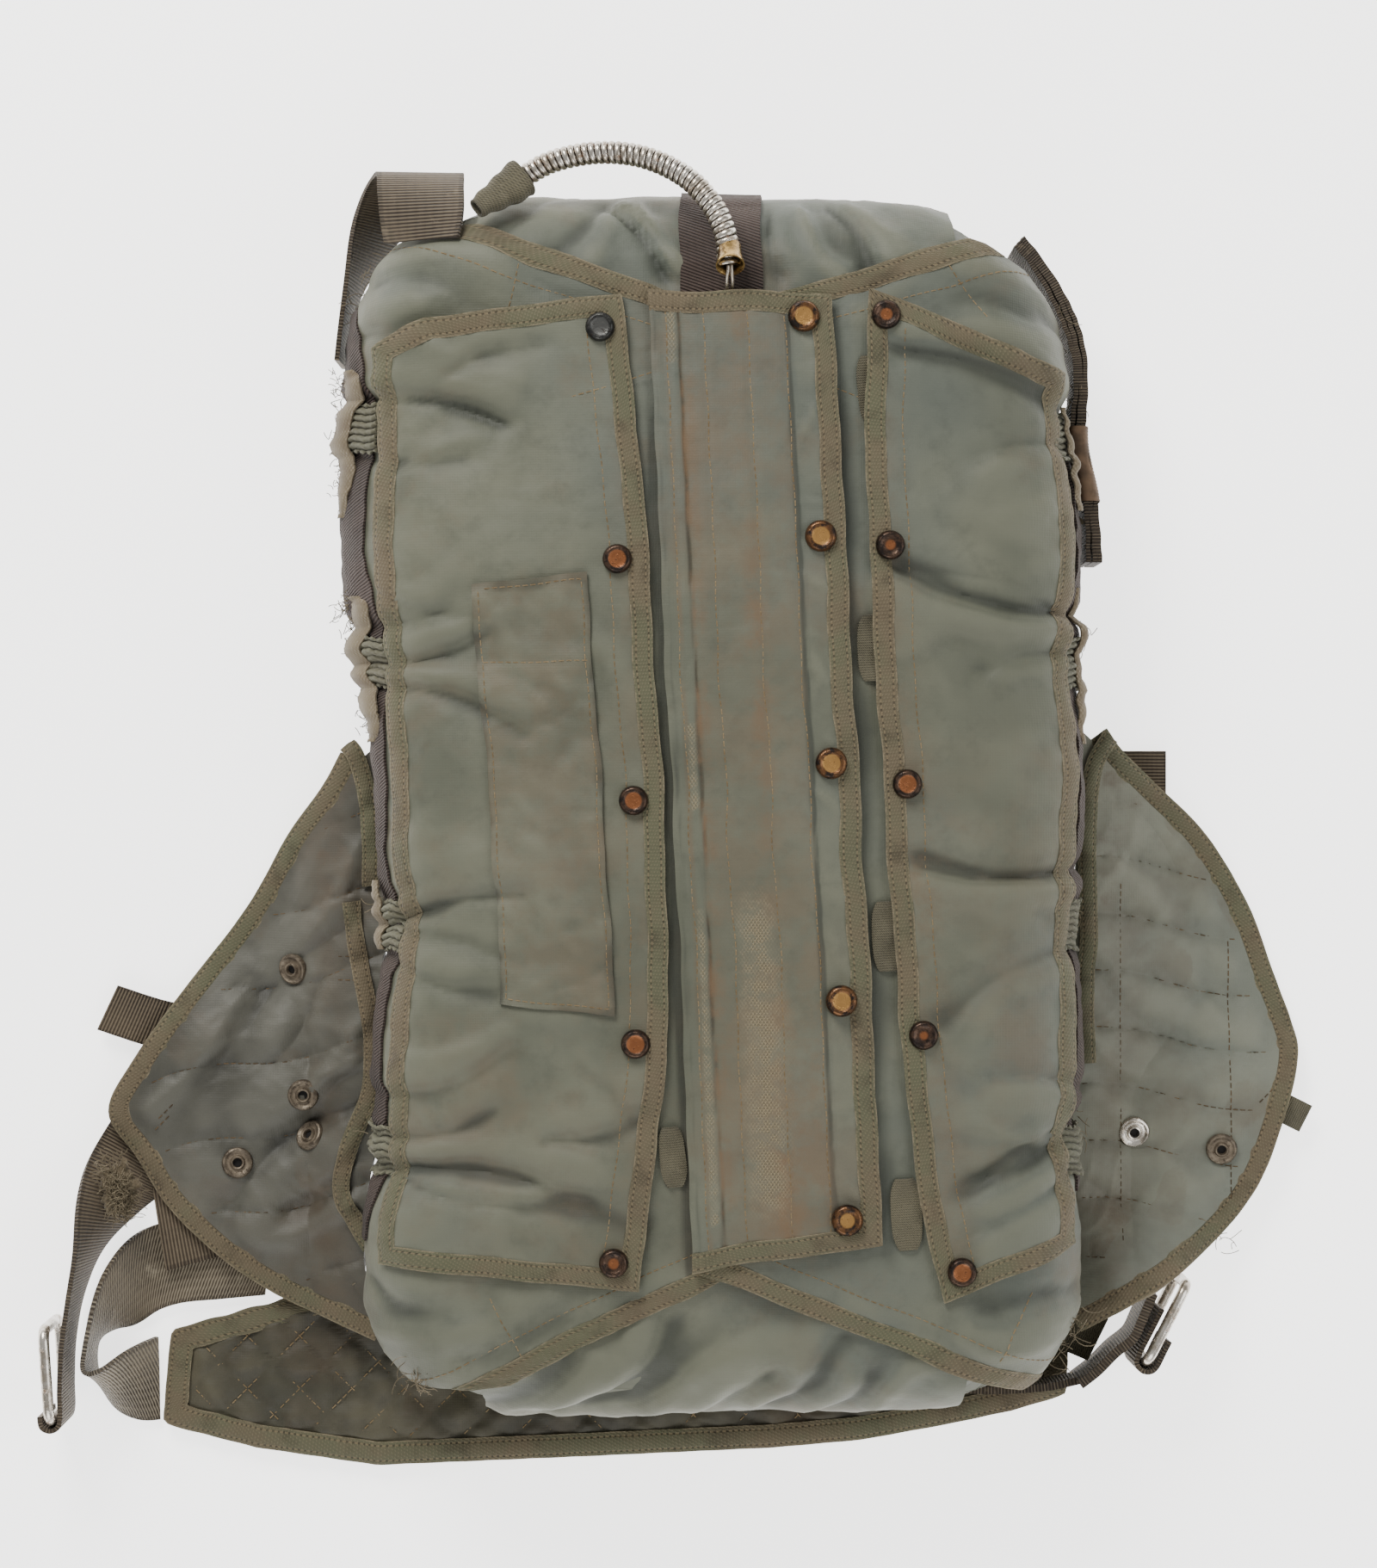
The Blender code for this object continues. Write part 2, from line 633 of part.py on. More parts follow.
def make_caps():
    profile = (
        (0.0, CAP_HEIGHT),
        (CAP_RADIUS * 0.55, CAP_HEIGHT * 0.93),
        (CAP_RADIUS * 0.93, CAP_HEIGHT * 0.55),
        (CAP_RADIUS, CAP_HEIGHT * 0.15),
        (CAP_RADIUS * 0.90, 0.0),
        (0.0, 0.0),
    )
    mesh = turned("cap", profile, "cap")
    for row, places in CAP_ROWS.items():
        for number, (across, along) in enumerate(metres(places), 1):
            lift = cover_lift(across, along) - GAP / 2 if row == "cover" else PANEL_LIFT
            lift += TAPE / 2 + 2 * GAP
            place, normal = pack_frame(across, along, lift)
            add_turned(f"snap_cap_{row}_{number}", mesh, 10, place, normal, "cap")


def make_bands():
    """Elastic bands that cross under the pack and come up both of its sides."""
    for number, row in enumerate(BAND_ROWS, 1):
        left = [-BAND_ENDS[0], *(-reach for reach in BAND_STATIONS)]
        right = [*reversed(BAND_STATIONS), BAND_ENDS[1]]
        stations = left + right
        edges = (row - BAND_WIDTH / 2, row + BAND_WIDTH / 2)
        strip(
            f"elastic_band_{number}",
            [(s, edges[1]) for s in stations],
            [(s, edges[0]) for s in stations],
            over_pack(band_lift),
            BAND_THICKNESS,
            "elastic",
            False,
        )


def band_lift(across, along):
    """Over the flap on the shoulder, over the webbing on the wall, close under the base."""
    reach = abs(across)
    over_flap = SIDE_FLAP_LIFT + (CLOTH + BAND_THICKNESS) / 2 + 2 * GAP
    over_web = SIDE_WEB_LIFT + (SIDE_WEB_THICKNESS + BAND_THICKNESS) / 2 + 2 * GAP
    under = BAND_THICKNESS / 2 + 2 * GAP
    lift = over_flap + (over_web - over_flap) * smooth(reach, *BAND_OVER_WEB)
    return lift + (under - over_web) * smooth(reach, *BAND_UNDER_BASE)


def make_side_web():
    """Webbing along the foot of the left flap, under the bands."""
    top, low = SIDE_WEB_EDGES
    rows = [SIDE_WEB_START - SIDE_WEB_STEP * k for k in range(SIDE_WEB_ROWS)]
    strip(
        "side_web_left",
        [(-top, t) for t in rows],
        [(-low, t) for t in rows],
        over_pack(SIDE_WEB_LIFT),
        SIDE_WEB_THICKNESS,
        "edge webbing",
        False,
    )


def wing_height(x, y):
    """Middle of a wing: down outside, up at the pack's wall and over what lies under it."""
    away = max(0.0, abs(x) - PACK_HALF_WIDTH - WING_CLEARANCE)
    start = WING_LIFTS_FROM[0 if x < 0 else 1]
    low = WING_LOW_LIFT * smooth(-y, start, start + 0.060)
    root = WING_ROOT_LIFT * exp(-((away / WING_ROOT_REACH) ** 2))
    rise = max(root, low)
    for at_x, at_y, reach, height in metres(WING_RISES):
        rise += height * exp(-((hypot(x - at_x, y - at_y) / reach) ** 2))
    return WING_TAPE / 2 + rise


def row_puff(x, y, width):
    """Puffed rows between the stitching, none where the wing runs out to its points."""
    slope = WING_ROW_SLOPES[0 if x < 0 else 1]
    puff = WING_PUFF * abs(sin(pi * (y - slope * x) / WING_ROW))
    return puff * smooth(width, *WING_PUFF_WIDTHS)


def wing_place(x, y):
    return Vector((x, y, wing_height(x, y)))


def beside(line, distance):
    """An open line moved to its left."""
    ends = [line[0], *line, line[-1]]
    sides = [line_normal(before, after) for before, after in zip(ends, ends[2:])]
    return [(p[0] + n[0] * distance, p[1] + n[1] * distance) for p, n in zip(line, sides)]


def make_wings():
    """Quilted side wings: a taped outer edge, ruled in to a root along the pack's wall."""
    edges = {"left": LEFT_WING_EDGE, "right": RIGHT_WING_EDGE}
    for side, sign in (("left", -1), ("right", 1)):
        outer = rounded_line(metres(edges[side]), 2)
        count = len(outer)
        root = []
        for k in range(count):
            along = WING_ROOT_TOPS[side] - WING_ROOT_LENGTH * k / (count - 1)
            across = sign * (WALL_FOOT - WING_ROOT_DROP)
            point = pack_frame(across, along, WING_CLEARANCE)[0]
            root.append((point.x, point.y))
        inner = beside(outer, -sign * TAPE_WIDTH)
        rim = beside(outer, -sign * (TAPE_WIDTH + 2 * GAP))
        strip(f"wing_{side}_binding", outer, inner, wing_place, WING_TAPE, "tape", False)
        bm = bmesh.new()
        bmesh.ops.create_grid(bm, x_segments=count - 1, y_segments=WING_COLUMNS, size=0.5)
        for vert in bm.verts:
            i = round((vert.co.x + 0.5) * (count - 1))
            share = vert.co.y + 0.5
            x, y = (a + (b - a) * share for a, b in zip(rim[i], root[i]))
            vert.co = wing_place(x, y)
            if 0.0 < share < 1.0:
                vert.co.z += row_puff(x, y, hypot(rim[i][0] - root[i][0], rim[i][1] - root[i][1]))
        thicken(finish_mesh(f"wing_{side}", bm, "quilt"), WING_THICKNESS)


def make_sockets():
    profile = (
        (SOCKET_HOLE, SOCKET_HEIGHT * 0.5),
        (SOCKET_HOLE + SOCKET_WALL, SOCKET_HEIGHT),
        (SOCKET_RADIUS * 0.78, SOCKET_HEIGHT),
        (SOCKET_RADIUS, 0.0),
        (SOCKET_HOLE, 0.0),
        (SOCKET_HOLE, SOCKET_HEIGHT * 0.5),
    )
    mesh = turned("socket", profile, "socket")
    for side, places in SOCKETS.items():
        for number, (x, y) in enumerate(metres(places), 1):
            rim = [resting_on(f"wing_{side}", x + dx, y + dy) for dx, dy in RIM_WAYS]
            normal = (rim[2] - rim[0]).cross(rim[3] - rim[1]).normalized()
            place = sum(rim, Vector()) / 4 + normal * SOCKET_LIFT
            add_turned(f"socket_{side}_{number}", mesh, 10, place, normal, "socket")


def resting_on(name, x, y):
    """Where a thing let down at x and y would land on this object."""
    bpy.context.view_layer.update()
    below = bpy.data.objects[name].evaluated_get(bpy.context.evaluated_depsgraph_get())
    return below.ray_cast(Vector((x, y, 1.0)), Vector((0.0, 0.0, -1.0)))[1]


def make_back_pad():
    """The pad that the pack lies on, wide and quilted in diamonds at its lower end."""
    outline = metres(BACK_PAD)
    edges = len(outline) - 1
    room = [TAPE_WIDTH + GAP] * edges + [0.0]
    bm = lattice(outline, room, QUILT_DIAMOND, QUILT_DIAMOND)
    top_line = max(vert.co.y for vert in bm.verts)
    inner_edges = [
        edge for edge in bm.edges if all(top_line - v.co.y < GAP for v in edge.verts)
    ]
    carried = bmesh.ops.extrude_edge_only(bm, edges=inner_edges)
    for vert in carried["geom"]:
        if isinstance(vert, bmesh.types.BMVert):
            vert.co.x *= PAD_NARROWING
            vert.co.y = PAD_REACH
    split_diamonds(bm)
    raised = bmesh.ops.extrude_face_region(bm, geom=bm.faces[:])
    for vert in raised["geom"]:
        if isinstance(vert, bmesh.types.BMVert):
            shown = vert.co.y < top_line - GAP
            puff = QUILT_PUFF if shown and not at_crossing(vert) else 0.0
            vert.co.z = PAD_THICKNESS + puff
    under = [face for face in bm.faces if all(v.co.z < GAP for v in face.verts)]
    bmesh.ops.dissolve_faces(bm, faces=under, use_verts=False)
    finish_mesh("back_pad", bm, "dark quilt")

    def place(x, y):
        return Vector((x, y, PAD_TAPE / 2))

    inner = inset(outline, [TAPE_WIDTH] * edges + [0.0])
    pairs = [(*a, *b) for a, b in zip(outline, inner)]
    strip(
        "back_pad_binding",
        [p[:2] for p in pairs],
        [p[2:] for p in pairs],
        place,
        PAD_TAPE,
        "tape",
        False,
    )


def at_crossing(vert):
    """Whether two lines of diamond stitching cross at this point of the lattice."""
    places = [vert.co.x / QUILT_DIAMOND, vert.co.y / QUILT_DIAMOND]
    on_lattice = all(abs(place - round(place)) < 0.01 for place in places)
    return not on_lattice or (round(places[0]) + round(places[1])) % 2 == 0


def split_diamonds(bm):
    """Cut each whole cell along the stitching."""
    for face in bm.faces[:]:
        low = [vert for vert in face.verts if at_crossing(vert)]
        if len(face.verts) == 4 and len(low) == 2:
            bmesh.utils.face_split(face, *low)


def strap(name, stations, thickness, width, steps):
    """Webbing swept through its stations, turned to each one's heading and tilt."""
    line = rounded_line(stations, steps)
    bm = bmesh.new()
    count = len(line)
    bmesh.ops.create_grid(bm, x_segments=count - 1, y_segments=1, size=0.5)
    for vert in bm.verts:
        x, y, z, heading, tilt = line[round((vert.co.x + 0.5) * (count - 1))]
        turn, lean = radians(heading), radians(tilt)
        side = Vector((cos(turn) * cos(lean), sin(turn) * cos(lean), sin(lean)))
        vert.co = Vector((x, y, z)) * MM + side * (vert.co.y * width)
    return thicken(finish_mesh(name, bm, "webbing"), thickness)


def make_riser_right():
    """Three layers of webbing on edge, bound against the right wall."""
    corner = (CORE_HALF_WIDTH, CORE_HALF_LENGTH)
    edges = []
    for reach in RISER_RIGHT_REACH:
        line = [(corner[0] + reach, row) for row in RISER_RIGHT_ROWS]
        for turn in RISER_RIGHT_TURNS:
            away = (reach * cos(radians(turn)), reach * sin(radians(turn)))
            line.append((corner[0] + away[0], corner[1] + away[1]))
        edges.append(line)
    place = over_pack(RISER_RIGHT_LIFT)
    strip("riser_right", edges[0], edges[1], place, 3 * WEBBING, "webbing", False)


def wire(name, points, radius, kind, closed=False):
    """A bent wire or tube along points in metres."""
    curve = bpy.data.curves.new(name, "CURVE")
    curve.dimensions = "3D"
    curve.bevel_depth = radius
    curve.bevel_resolution = 2
    curve.use_fill_caps = not closed
    spline = curve.splines.new("POLY")
    spline.points.add(len(points) - 1)
    for place, point in zip(spline.points, points):
        place.co = (*point, 1.0)
    spline.use_cyclic_u = closed
    return add_object(name, curve, kind)


def make_conduit():
    wire("conduit", rounded_line(metres(CONDUIT), 3), CONDUIT_RADIUS, "steel")
    strap("conduit_sleeve", SLEEVE, *SLEEVE_SIZE, 2)


def make_ring(name, x, y, z, heading, length, height, corner):
    """A rectangular ring with round corners, standing on edge along its heading."""
    ahead = Vector((cos(radians(heading)), sin(radians(heading)), 0.0))
    points = []
    for quarter, (end, side) in enumerate(((1, 1), (-1, 1), (-1, -1), (1, -1))):
        for k in range(3):
            angle = pi / 2 * (quarter + k / 2)
            out = end * (length / 2 - corner) + corner * cos(angle)
            up = side * (height / 2 - corner) + corner * sin(angle)
            points.append(Vector((x, y, z + up)) + ahead * out)
    wire(name, points, RING_WIRE, "steel", True)


for leftover in list(bpy.data.objects):
    bpy.data.objects.remove(leftover, do_unlink=True)
PARTS = bpy.data.collections.new("packed_parachute")
bpy.context.scene.collection.children.link(PARTS)

make_pack_body()
make_flaps()
make_panels()
make_caps()
make_bands()
make_side_web()
make_wings()
make_sockets()
make_back_pad()
make_riser_right()
for row in STRAPS:
    strap(*row)
make_conduit()
for row in RINGS:
    make_ring(*row)
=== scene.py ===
import bmesh
import bpy
import math
import numpy as np
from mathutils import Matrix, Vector


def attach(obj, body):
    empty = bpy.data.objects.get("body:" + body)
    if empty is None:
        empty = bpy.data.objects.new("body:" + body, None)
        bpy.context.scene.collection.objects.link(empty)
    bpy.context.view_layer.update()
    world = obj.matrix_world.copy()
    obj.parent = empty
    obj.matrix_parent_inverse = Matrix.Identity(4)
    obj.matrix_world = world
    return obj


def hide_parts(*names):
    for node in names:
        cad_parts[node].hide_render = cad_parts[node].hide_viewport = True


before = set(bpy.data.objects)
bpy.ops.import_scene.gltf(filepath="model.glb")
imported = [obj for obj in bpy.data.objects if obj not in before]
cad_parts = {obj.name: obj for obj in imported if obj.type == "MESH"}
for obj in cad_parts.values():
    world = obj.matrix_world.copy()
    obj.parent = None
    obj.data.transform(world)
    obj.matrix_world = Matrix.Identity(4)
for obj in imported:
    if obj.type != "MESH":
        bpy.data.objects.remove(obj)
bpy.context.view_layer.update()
mm = 0.001
bpy.ops.object.select_all(action="DESELECT")
print("frame loaded")

# Camera straight above, a little off the middle, as the photograph was taken
bpy.ops.object.camera_add(location=(-0.016, 0.014, 2.0), rotation=(0, 0, 0))
camera = bpy.context.object
camera.data.lens = 88.9
camera.data.sensor_width = 36
camera.data.clip_end = 20
bpy.context.scene.camera = camera


# Shader maths

class Wire:  # a shader value, so that formulas read as formulas
    def __init__(self, tree, socket):
        self.tree, self.socket = tree, socket

    def node(self, kind, inputs=(), output=0, **settings):
        made = self.tree.nodes.new("ShaderNode" + kind)
        for key, value in settings.items():
            setattr(made, key, value)
        for slot, value in dict(inputs).items():
            if isinstance(value, Wire):
                self.tree.links.new(value.socket, made.inputs[slot])
            else:
                made.inputs[slot].default_value = value
        return Wire(self.tree, made.outputs[output])

    def maths(self, how, *others, **settings):
        return self.node("Math", enumerate((self, *others)), operation=how, **settings)

    def __add__(self, other):
        return self.maths("ADD", other)

    def __sub__(self, other):
        return self.maths("SUBTRACT", other)

    def __mul__(self, other):
        return self.maths("MULTIPLY", other)

    def __truediv__(self, other):
        return self.maths("DIVIDE", other)

    def sine(self):
        return self.maths("SINE")

    def size(self):
        return self.maths("ABSOLUTE")

    def share(self):
        return self.maths("FRACT")

    def ramp(self, start, end):  # 0 before start, 1 after end
        slots = {0: self, 1: start, 2: end, 3: 0.0, 4: 1.0}
        return self.node("MapRange", slots, interpolation_type="SMOOTHSTEP")

    def part(self, index):
        return self.node("SeparateXYZ", {0: self}, index)

    def noise(self, scale, detail=3.0, rough=0.55, stretch=None):
        place = self
        if stretch:
            place = self.node("Mapping", {0: self, 3: stretch})
        return self.node("TexNoise", {"Vector": place, "Scale": scale, "Detail": detail, "Roughness": rough})


def blend(factor, first, second):  # colours, by a factor from 0 to 1
    return factor.node("Mix", {0: factor, 6: first, 7: second}, 2, data_type="RGBA")


def startMaterial(name, look):  # a material with its constant values set, and its sources
    made = bpy.data.materials.new(name)
    made.use_nodes = True
    tree = made.node_tree
    shader = tree.nodes["Principled BSDF"]
    shader.inputs["Roughness"].default_value = look["rough"]
    shader.inputs["Metallic"].default_value = look.get("metal", 0.0)
    shader.inputs["Sheen Weight"].default_value = look.get("sheen", 0.0)
    shader.inputs["Sheen Roughness"].default_value = 0.45
    shader.inputs["Specular IOR Level"].default_value = look.get("specular", 0.35)
    start = Wire(tree, tree.nodes.new("ShaderNodeTexCoord").outputs["Object"])
    flat = Wire(tree, start.socket.node.outputs["UV"])
    return made, shader, start, flat


def mark(source, name):  # a value painted on the mesh's points
    return source.node("Attribute", (), 2, attribute_name=name)


def finishMaterial(made, shader, colour, height, depth, rough=None):
    tree = made.node_tree
    tree.links.new(colour.socket, shader.inputs["Base Color"])
    if rough is not None:
        tree.links.new(rough.socket, shader.inputs["Roughness"])
    bump = height.node("Bump", {"Strength": 1.0, "Distance": depth, "Height": height})
    tree.links.new(bump.socket, shader.inputs["Normal"])
    return made


def rgb(red, green, blue):  # a display colour as the shader wants it
    return tuple((c / 255) ** 2.2 for c in (red, green, blue)) + (1.0,)


packCloth = {
    "colour": rgb(81, 83, 71), "pale": rgb(98, 99, 85), "deep": rgb(44, 47, 41),
    "cool": rgb(78, 83, 77), "stain": rgb(96, 79, 60), "worn": rgb(136, 124, 98),
    "rough": 0.60, "sheen": 0.05, "specular": 0.34, "pulled": 0.35,
}


def clothMaterial(name, look):
    made, shader, place, flat = startMaterial(name, look)
    cloudy = place.noise(9.0, 4.0, 0.6)
    fine = place.noise(70.0, 5.0, 0.65)
    colour = blend(cloudy.ramp(0.38, 0.66), look["colour"], look["pale"])
    colour = blend(place.noise(5.0, 3.0).ramp(0.48, 0.66) * 0.7, colour, look["cool"])
    colour = blend(fine.ramp(0.45, 0.75) * 0.25, colour, look["deep"])
    colour = blend(place.noise(12.0, 5.0, 0.7).ramp(0.48, 0.70) * 0.36, colour, look["stain"])
    colour = blend(place.noise(34.0, 3.0, 0.6, (1.0, 0.45, 1.0)).ramp(0.52, 0.70) * 0.16, colour, look["pale"])
    paintedShading = mark(place, "paintedShading")
    # painted highlight on the ridges and painted shade in the folds, from the shading attribute painted on the mesh
    colour = blend(paintedShading.ramp(0.53, 0.95) * 0.60, colour, look["pale"])
    colour = blend((paintedShading * -1.0 + 1.0).ramp(0.56, 1.20) * 0.72, colour, look["deep"])
    stain = mark(place, "stain") * (place.noise(38.0, 4.0, 0.7).ramp(0.38, 0.62) * 0.8 + 0.2)
    colour = blend(stain, colour, look["stain"])
    u, v = flat.part(0), flat.part(1)
    twill = ((u * 5200.0).sine() + (v * 5200.0).sine()) * 0.12
    weave = (u * 3600.0).sine() * (v * 2400.0).sine()
    worn = mark(place, "worn") * (place.noise(150.0, 3.0, 0.7).ramp(0.40, 0.58) * 0.75 + 0.25)
    colour = blend(worn * (weave.ramp(-0.4, 0.6) * 0.6 + 0.4), colour, look["worn"])
    pulled = (place.noise(26.0, 2.0, 0.4, (1.0, 1.8, 1.0)) - 0.5).size().ramp(0.0, 0.14)
    height = fine * 0.9 + twill * 0.25 + weave * worn * 1.2 + place.noise(260.0, 2.0) * 0.35 + pulled * look.get("pulled", 0.0)
    rough = cloudy * 0.18 + (look["rough"] - 0.08)
    return finishMaterial(made, shader, colour, height, 0.00045, rough)


bindingTape = {
    "colour": rgb(88, 79, 63), "pale": rgb(122, 112, 91), "deep": rgb(48, 42, 32),
    "green": rgb(80, 80, 62), "thread": rgb(118, 104, 80), "rough": 0.85, "sheen": 0.05,
}


def tapeMaterial(name, look):  # u runs across the tape from 0 to 1, v along it in metres
    made, shader, place, flat = startMaterial(name, look)
    u, v = flat.part(0), flat.part(1)
    cloudy = place.noise(16.0, 4.0, 0.65)
    colour = blend(cloudy.ramp(0.35, 0.62), look["colour"], look["green"])
    colour = blend(place.noise(60.0, 4.0).ramp(0.5, 0.8) * 0.6, colour, look["deep"])
    ribs = (v * 3800.0).sine() * 0.5 + ((u * 44.0) + (v * 1900.0)).sine() * 0.5
    colour = blend(ribs.ramp(0.1, 1.2) * 0.35, colour, look["pale"])
    rows = ((u - 0.20).size().ramp(0.055, 0.02)) + ((u - 0.80).size().ramp(0.055, 0.02))
    dash = (v * 330.0).share().ramp(0.72, 0.60) * (v * 330.0).share().ramp(0.0, 0.10)
    thread = rows * dash
    # painted shade in the stitch rows' grooves, between the thread dashes
    colour = blend((rows - thread) * 0.60, colour, look["deep"])
    colour = blend(thread * 0.45, colour, look["thread"])
    edge = (u - 0.5).size().ramp(0.40, 0.50)
    colour = blend(edge * place.noise(120.0, 3.0, 0.7).ramp(0.40, 0.60) * 0.75, colour, look["pale"])
    height = ribs * 0.25 + thread * 0.4 - rows * 0.6 + place.noise(180.0, 3.0) * 0.7
    return finishMaterial(made, shader, colour, height, 0.0005)


def webMaterial(name, look):  # u runs across the webbing from 0 to 1, v along it in metres
    made, shader, place, flat = startMaterial(name, look)
    u, v = flat.part(0), flat.part(1)
    rib = (v * (math.pi / look["pitch"])).sine().size()
    column = (u * (math.pi * look["columns"])).sine()
    chevron = (v * (math.pi / look["pitch"]) + (u * look["columns"]).share() * 3.1).sine().size()
    weave = rib * (1.0 - look["chevron"]) + chevron * look["chevron"] + column.size() * 0.12
    side = (u - 0.5).size().ramp(0.43, 0.46)
    colour = blend(place.noise(22.0, 4.0, 0.6).ramp(0.35, 0.65), look["colour"], look["deep"])
    colour = blend(weave.ramp(0.45, 1.05) * 0.5, colour, look["pale"])
    check = (v * (math.pi / 0.0013)).sine().size().ramp(0.30, 0.75)
    colour = blend(side * look["checked"] * check, colour, look["check"])
    colour = blend(place.noise(90.0, 4.0, 0.7).ramp(0.58, 0.75) * 0.5, colour, look["pale"])
    height = weave * 1.0 + place.noise(200.0, 3.0) * 0.4
    return finishMaterial(made, shader, colour, height, 0.0007)


harnessWebbing = {
    "colour": rgb(72, 62, 50), "deep": rgb(45, 37, 30), "pale": rgb(122, 110, 91), "check": rgb(38, 31, 25),
    "rough": 0.72, "sheen": 0.08, "pitch": 0.0017, "columns": 9, "chevron": 0.0, "checked": 0.6,
}
herringWebbing = {**harnessWebbing, "colour": rgb(94, 84, 70), "pale": rgb(158, 148, 128), "columns": 10, "chevron": 0.8, "rough": 0.6}
wallWebbing = {
    "colour": rgb(58, 48, 44), "deep": rgb(37, 30, 28), "pale": rgb(84, 72, 65), "check": rgb(46, 38, 35),
    "rough": 0.82, "sheen": 0.03, "pitch": 0.0016, "columns": 10, "chevron": 1.0, "checked": 0.0,
}
tabCloth = {
    "colour": rgb(86, 82, 66), "deep": rgb(60, 57, 45), "pale": rgb(112, 106, 87), "check": rgb(64, 61, 48),
    "rough": 0.85, "sheen": 0.10, "pitch": 0.0012, "columns": 14, "chevron": 0.5, "checked": 0.0,
}


quiltCloth = {
    "colour": rgb(64, 63, 56), "pale": rgb(88, 87, 79), "deep": rgb(36, 36, 33), "cool": rgb(66, 69, 68),
    "stain": rgb(82, 70, 56), "worn": rgb(120, 116, 100), "rough": 0.56, "sheen": 0.05, "specular": 0.38, "pulled": 0.5,
}
quiltRight = {**quiltCloth, "colour": rgb(98, 99, 87), "pale": rgb(114, 115, 101), "deep": rgb(66, 66, 58), "cool": rgb(94, 98, 90)}
scrapCloth = {
    "colour": rgb(92, 82, 66), "pale": rgb(114, 104, 86), "deep": rgb(54, 46, 36), "cool": rgb(80, 77, 64),
    "stain": rgb(74, 58, 44), "worn": rgb(134, 124, 104), "rough": 0.9, "sheen": 0.15, "specular": 0.20,
}
lumbarCloth = {
    "colour": rgb(50, 48, 38), "pale": rgb(80, 76, 61), "deep": rgb(22, 21, 17), "cool": rgb(48, 50, 42),
    "stain": rgb(70, 58, 44), "worn": rgb(116, 112, 92), "rough": 0.60, "sheen": 0.05, "specular": 0.36, "pulled": 0.4,
}
bandCloth = {
    "colour": rgb(80, 80, 66), "pale": rgb(104, 103, 86), "deep": rgb(38, 38, 31), "cool": rgb(74, 77, 66),
    "stain": rgb(80, 70, 54), "worn": rgb(112, 106, 86), "rough": 0.78, "sheen": 0.08, "specular": 0.30,
}


def plainMaterial(name, look):  # threads and other small pieces
    made, shader, place, flat = startMaterial(name, look)
    colour = blend(place.noise(90.0, 3.0).ramp(0.35, 0.65), look["colour"], look["deep"])
    return finishMaterial(made, shader, colour, place.noise(400.0, 3.0), 0.0002)


def metalMaterial(name, look):  # centre is 1 at the middle of a turned piece and 0 at its rim; on the conduit it is 1 in the grooves, where the middle colour is painted shade
    made, shader, place, flat = startMaterial(name, look)
    blotch = place.noise(look["blotch"], 4.0, 0.65)
    centre = mark(place, "centre")
    colour = blend(blotch.ramp(0.40, 0.62), look["colour"], look["deep"])
    start = look.get("from", 0.26)
    colour = blend(centre.ramp(start, start + 0.12) * look["bright"], colour, look["middle"])
    rust = place.noise(look["blotch"] * 2.3, 5.0, 0.7).ramp(0.57, 0.66)
    colour = blend(rust * look["rust"], colour, look["rusty"])
    rough = blotch * 0.25 + rust * 0.3 + (look["rough"] - 0.12)
    return finishMaterial(made, shader, colour, blotch + rust * 0.5, 0.0003, rough)


bronze = {
    "colour": rgb(76, 60, 50), "deep": rgb(42, 36, 33), "middle": rgb(138, 88, 57), "rusty": rgb(52, 40, 33),
    "rough": 0.36, "metal": 0.8, "blotch": 260.0, "bright": 0.9, "rust": 0.6, "specular": 0.5, "from": 0.34,
}
goldCap = {**bronze, "colour": rgb(104, 74, 50), "middle": rgb(168, 128, 76), "from": 0.38}
blackCap = {**bronze, "colour": rgb(64, 64, 62), "deep": rgb(40, 40, 40), "middle": rgb(86, 86, 84)}
socketMetal = {
    "colour": rgb(110, 100, 86), "deep": rgb(78, 70, 60), "middle": rgb(120, 108, 92), "rusty": rgb(70, 56, 46),
    "rough": 0.5, "metal": 0.6, "blotch": 260.0, "bright": 0.3, "rust": 0.5, "specular": 0.5,
}
plated = {
    "colour": rgb(206, 200, 190), "deep": rgb(160, 150, 136), "middle": rgb(190, 184, 172), "rusty": rgb(120, 80, 48),
    "rough": 0.26, "metal": 0.95, "blotch": 110.0, "bright": 0.0, "rust": 0.5, "specular": 0.5,
}
brassMetal = {**plated, "colour": rgb(150, 124, 78), "deep": rgb(92, 72, 44), "rust": 0.3}
# on the ribbed conduit the middle colour is painted shade in the grooves
ribbed = {**plated, "colour": rgb(196, 190, 180), "middle": rgb(64, 54, 46), "bright": 0.85, "from": 0.34}
wornThread = {"colour": rgb(124, 108, 82), "deep": rgb(100, 84, 60), "rough": 0.9}
darkThread = {"colour": rgb(92, 76, 56), "deep": rgb(62, 52, 38), "rough": 0.9}
wrapThread = {"colour": rgb(104, 84, 66), "deep": rgb(74, 60, 47), "rough": 0.8}
canvasThread = {"colour": rgb(116, 106, 87), "deep": rgb(90, 81, 65), "rough": 0.9}
# colour for discs that are painted shade inside holes
paintedHoleShade = {"colour": rgb(30, 28, 26), "deep": rgb(20, 18, 17), "rough": 0.8}

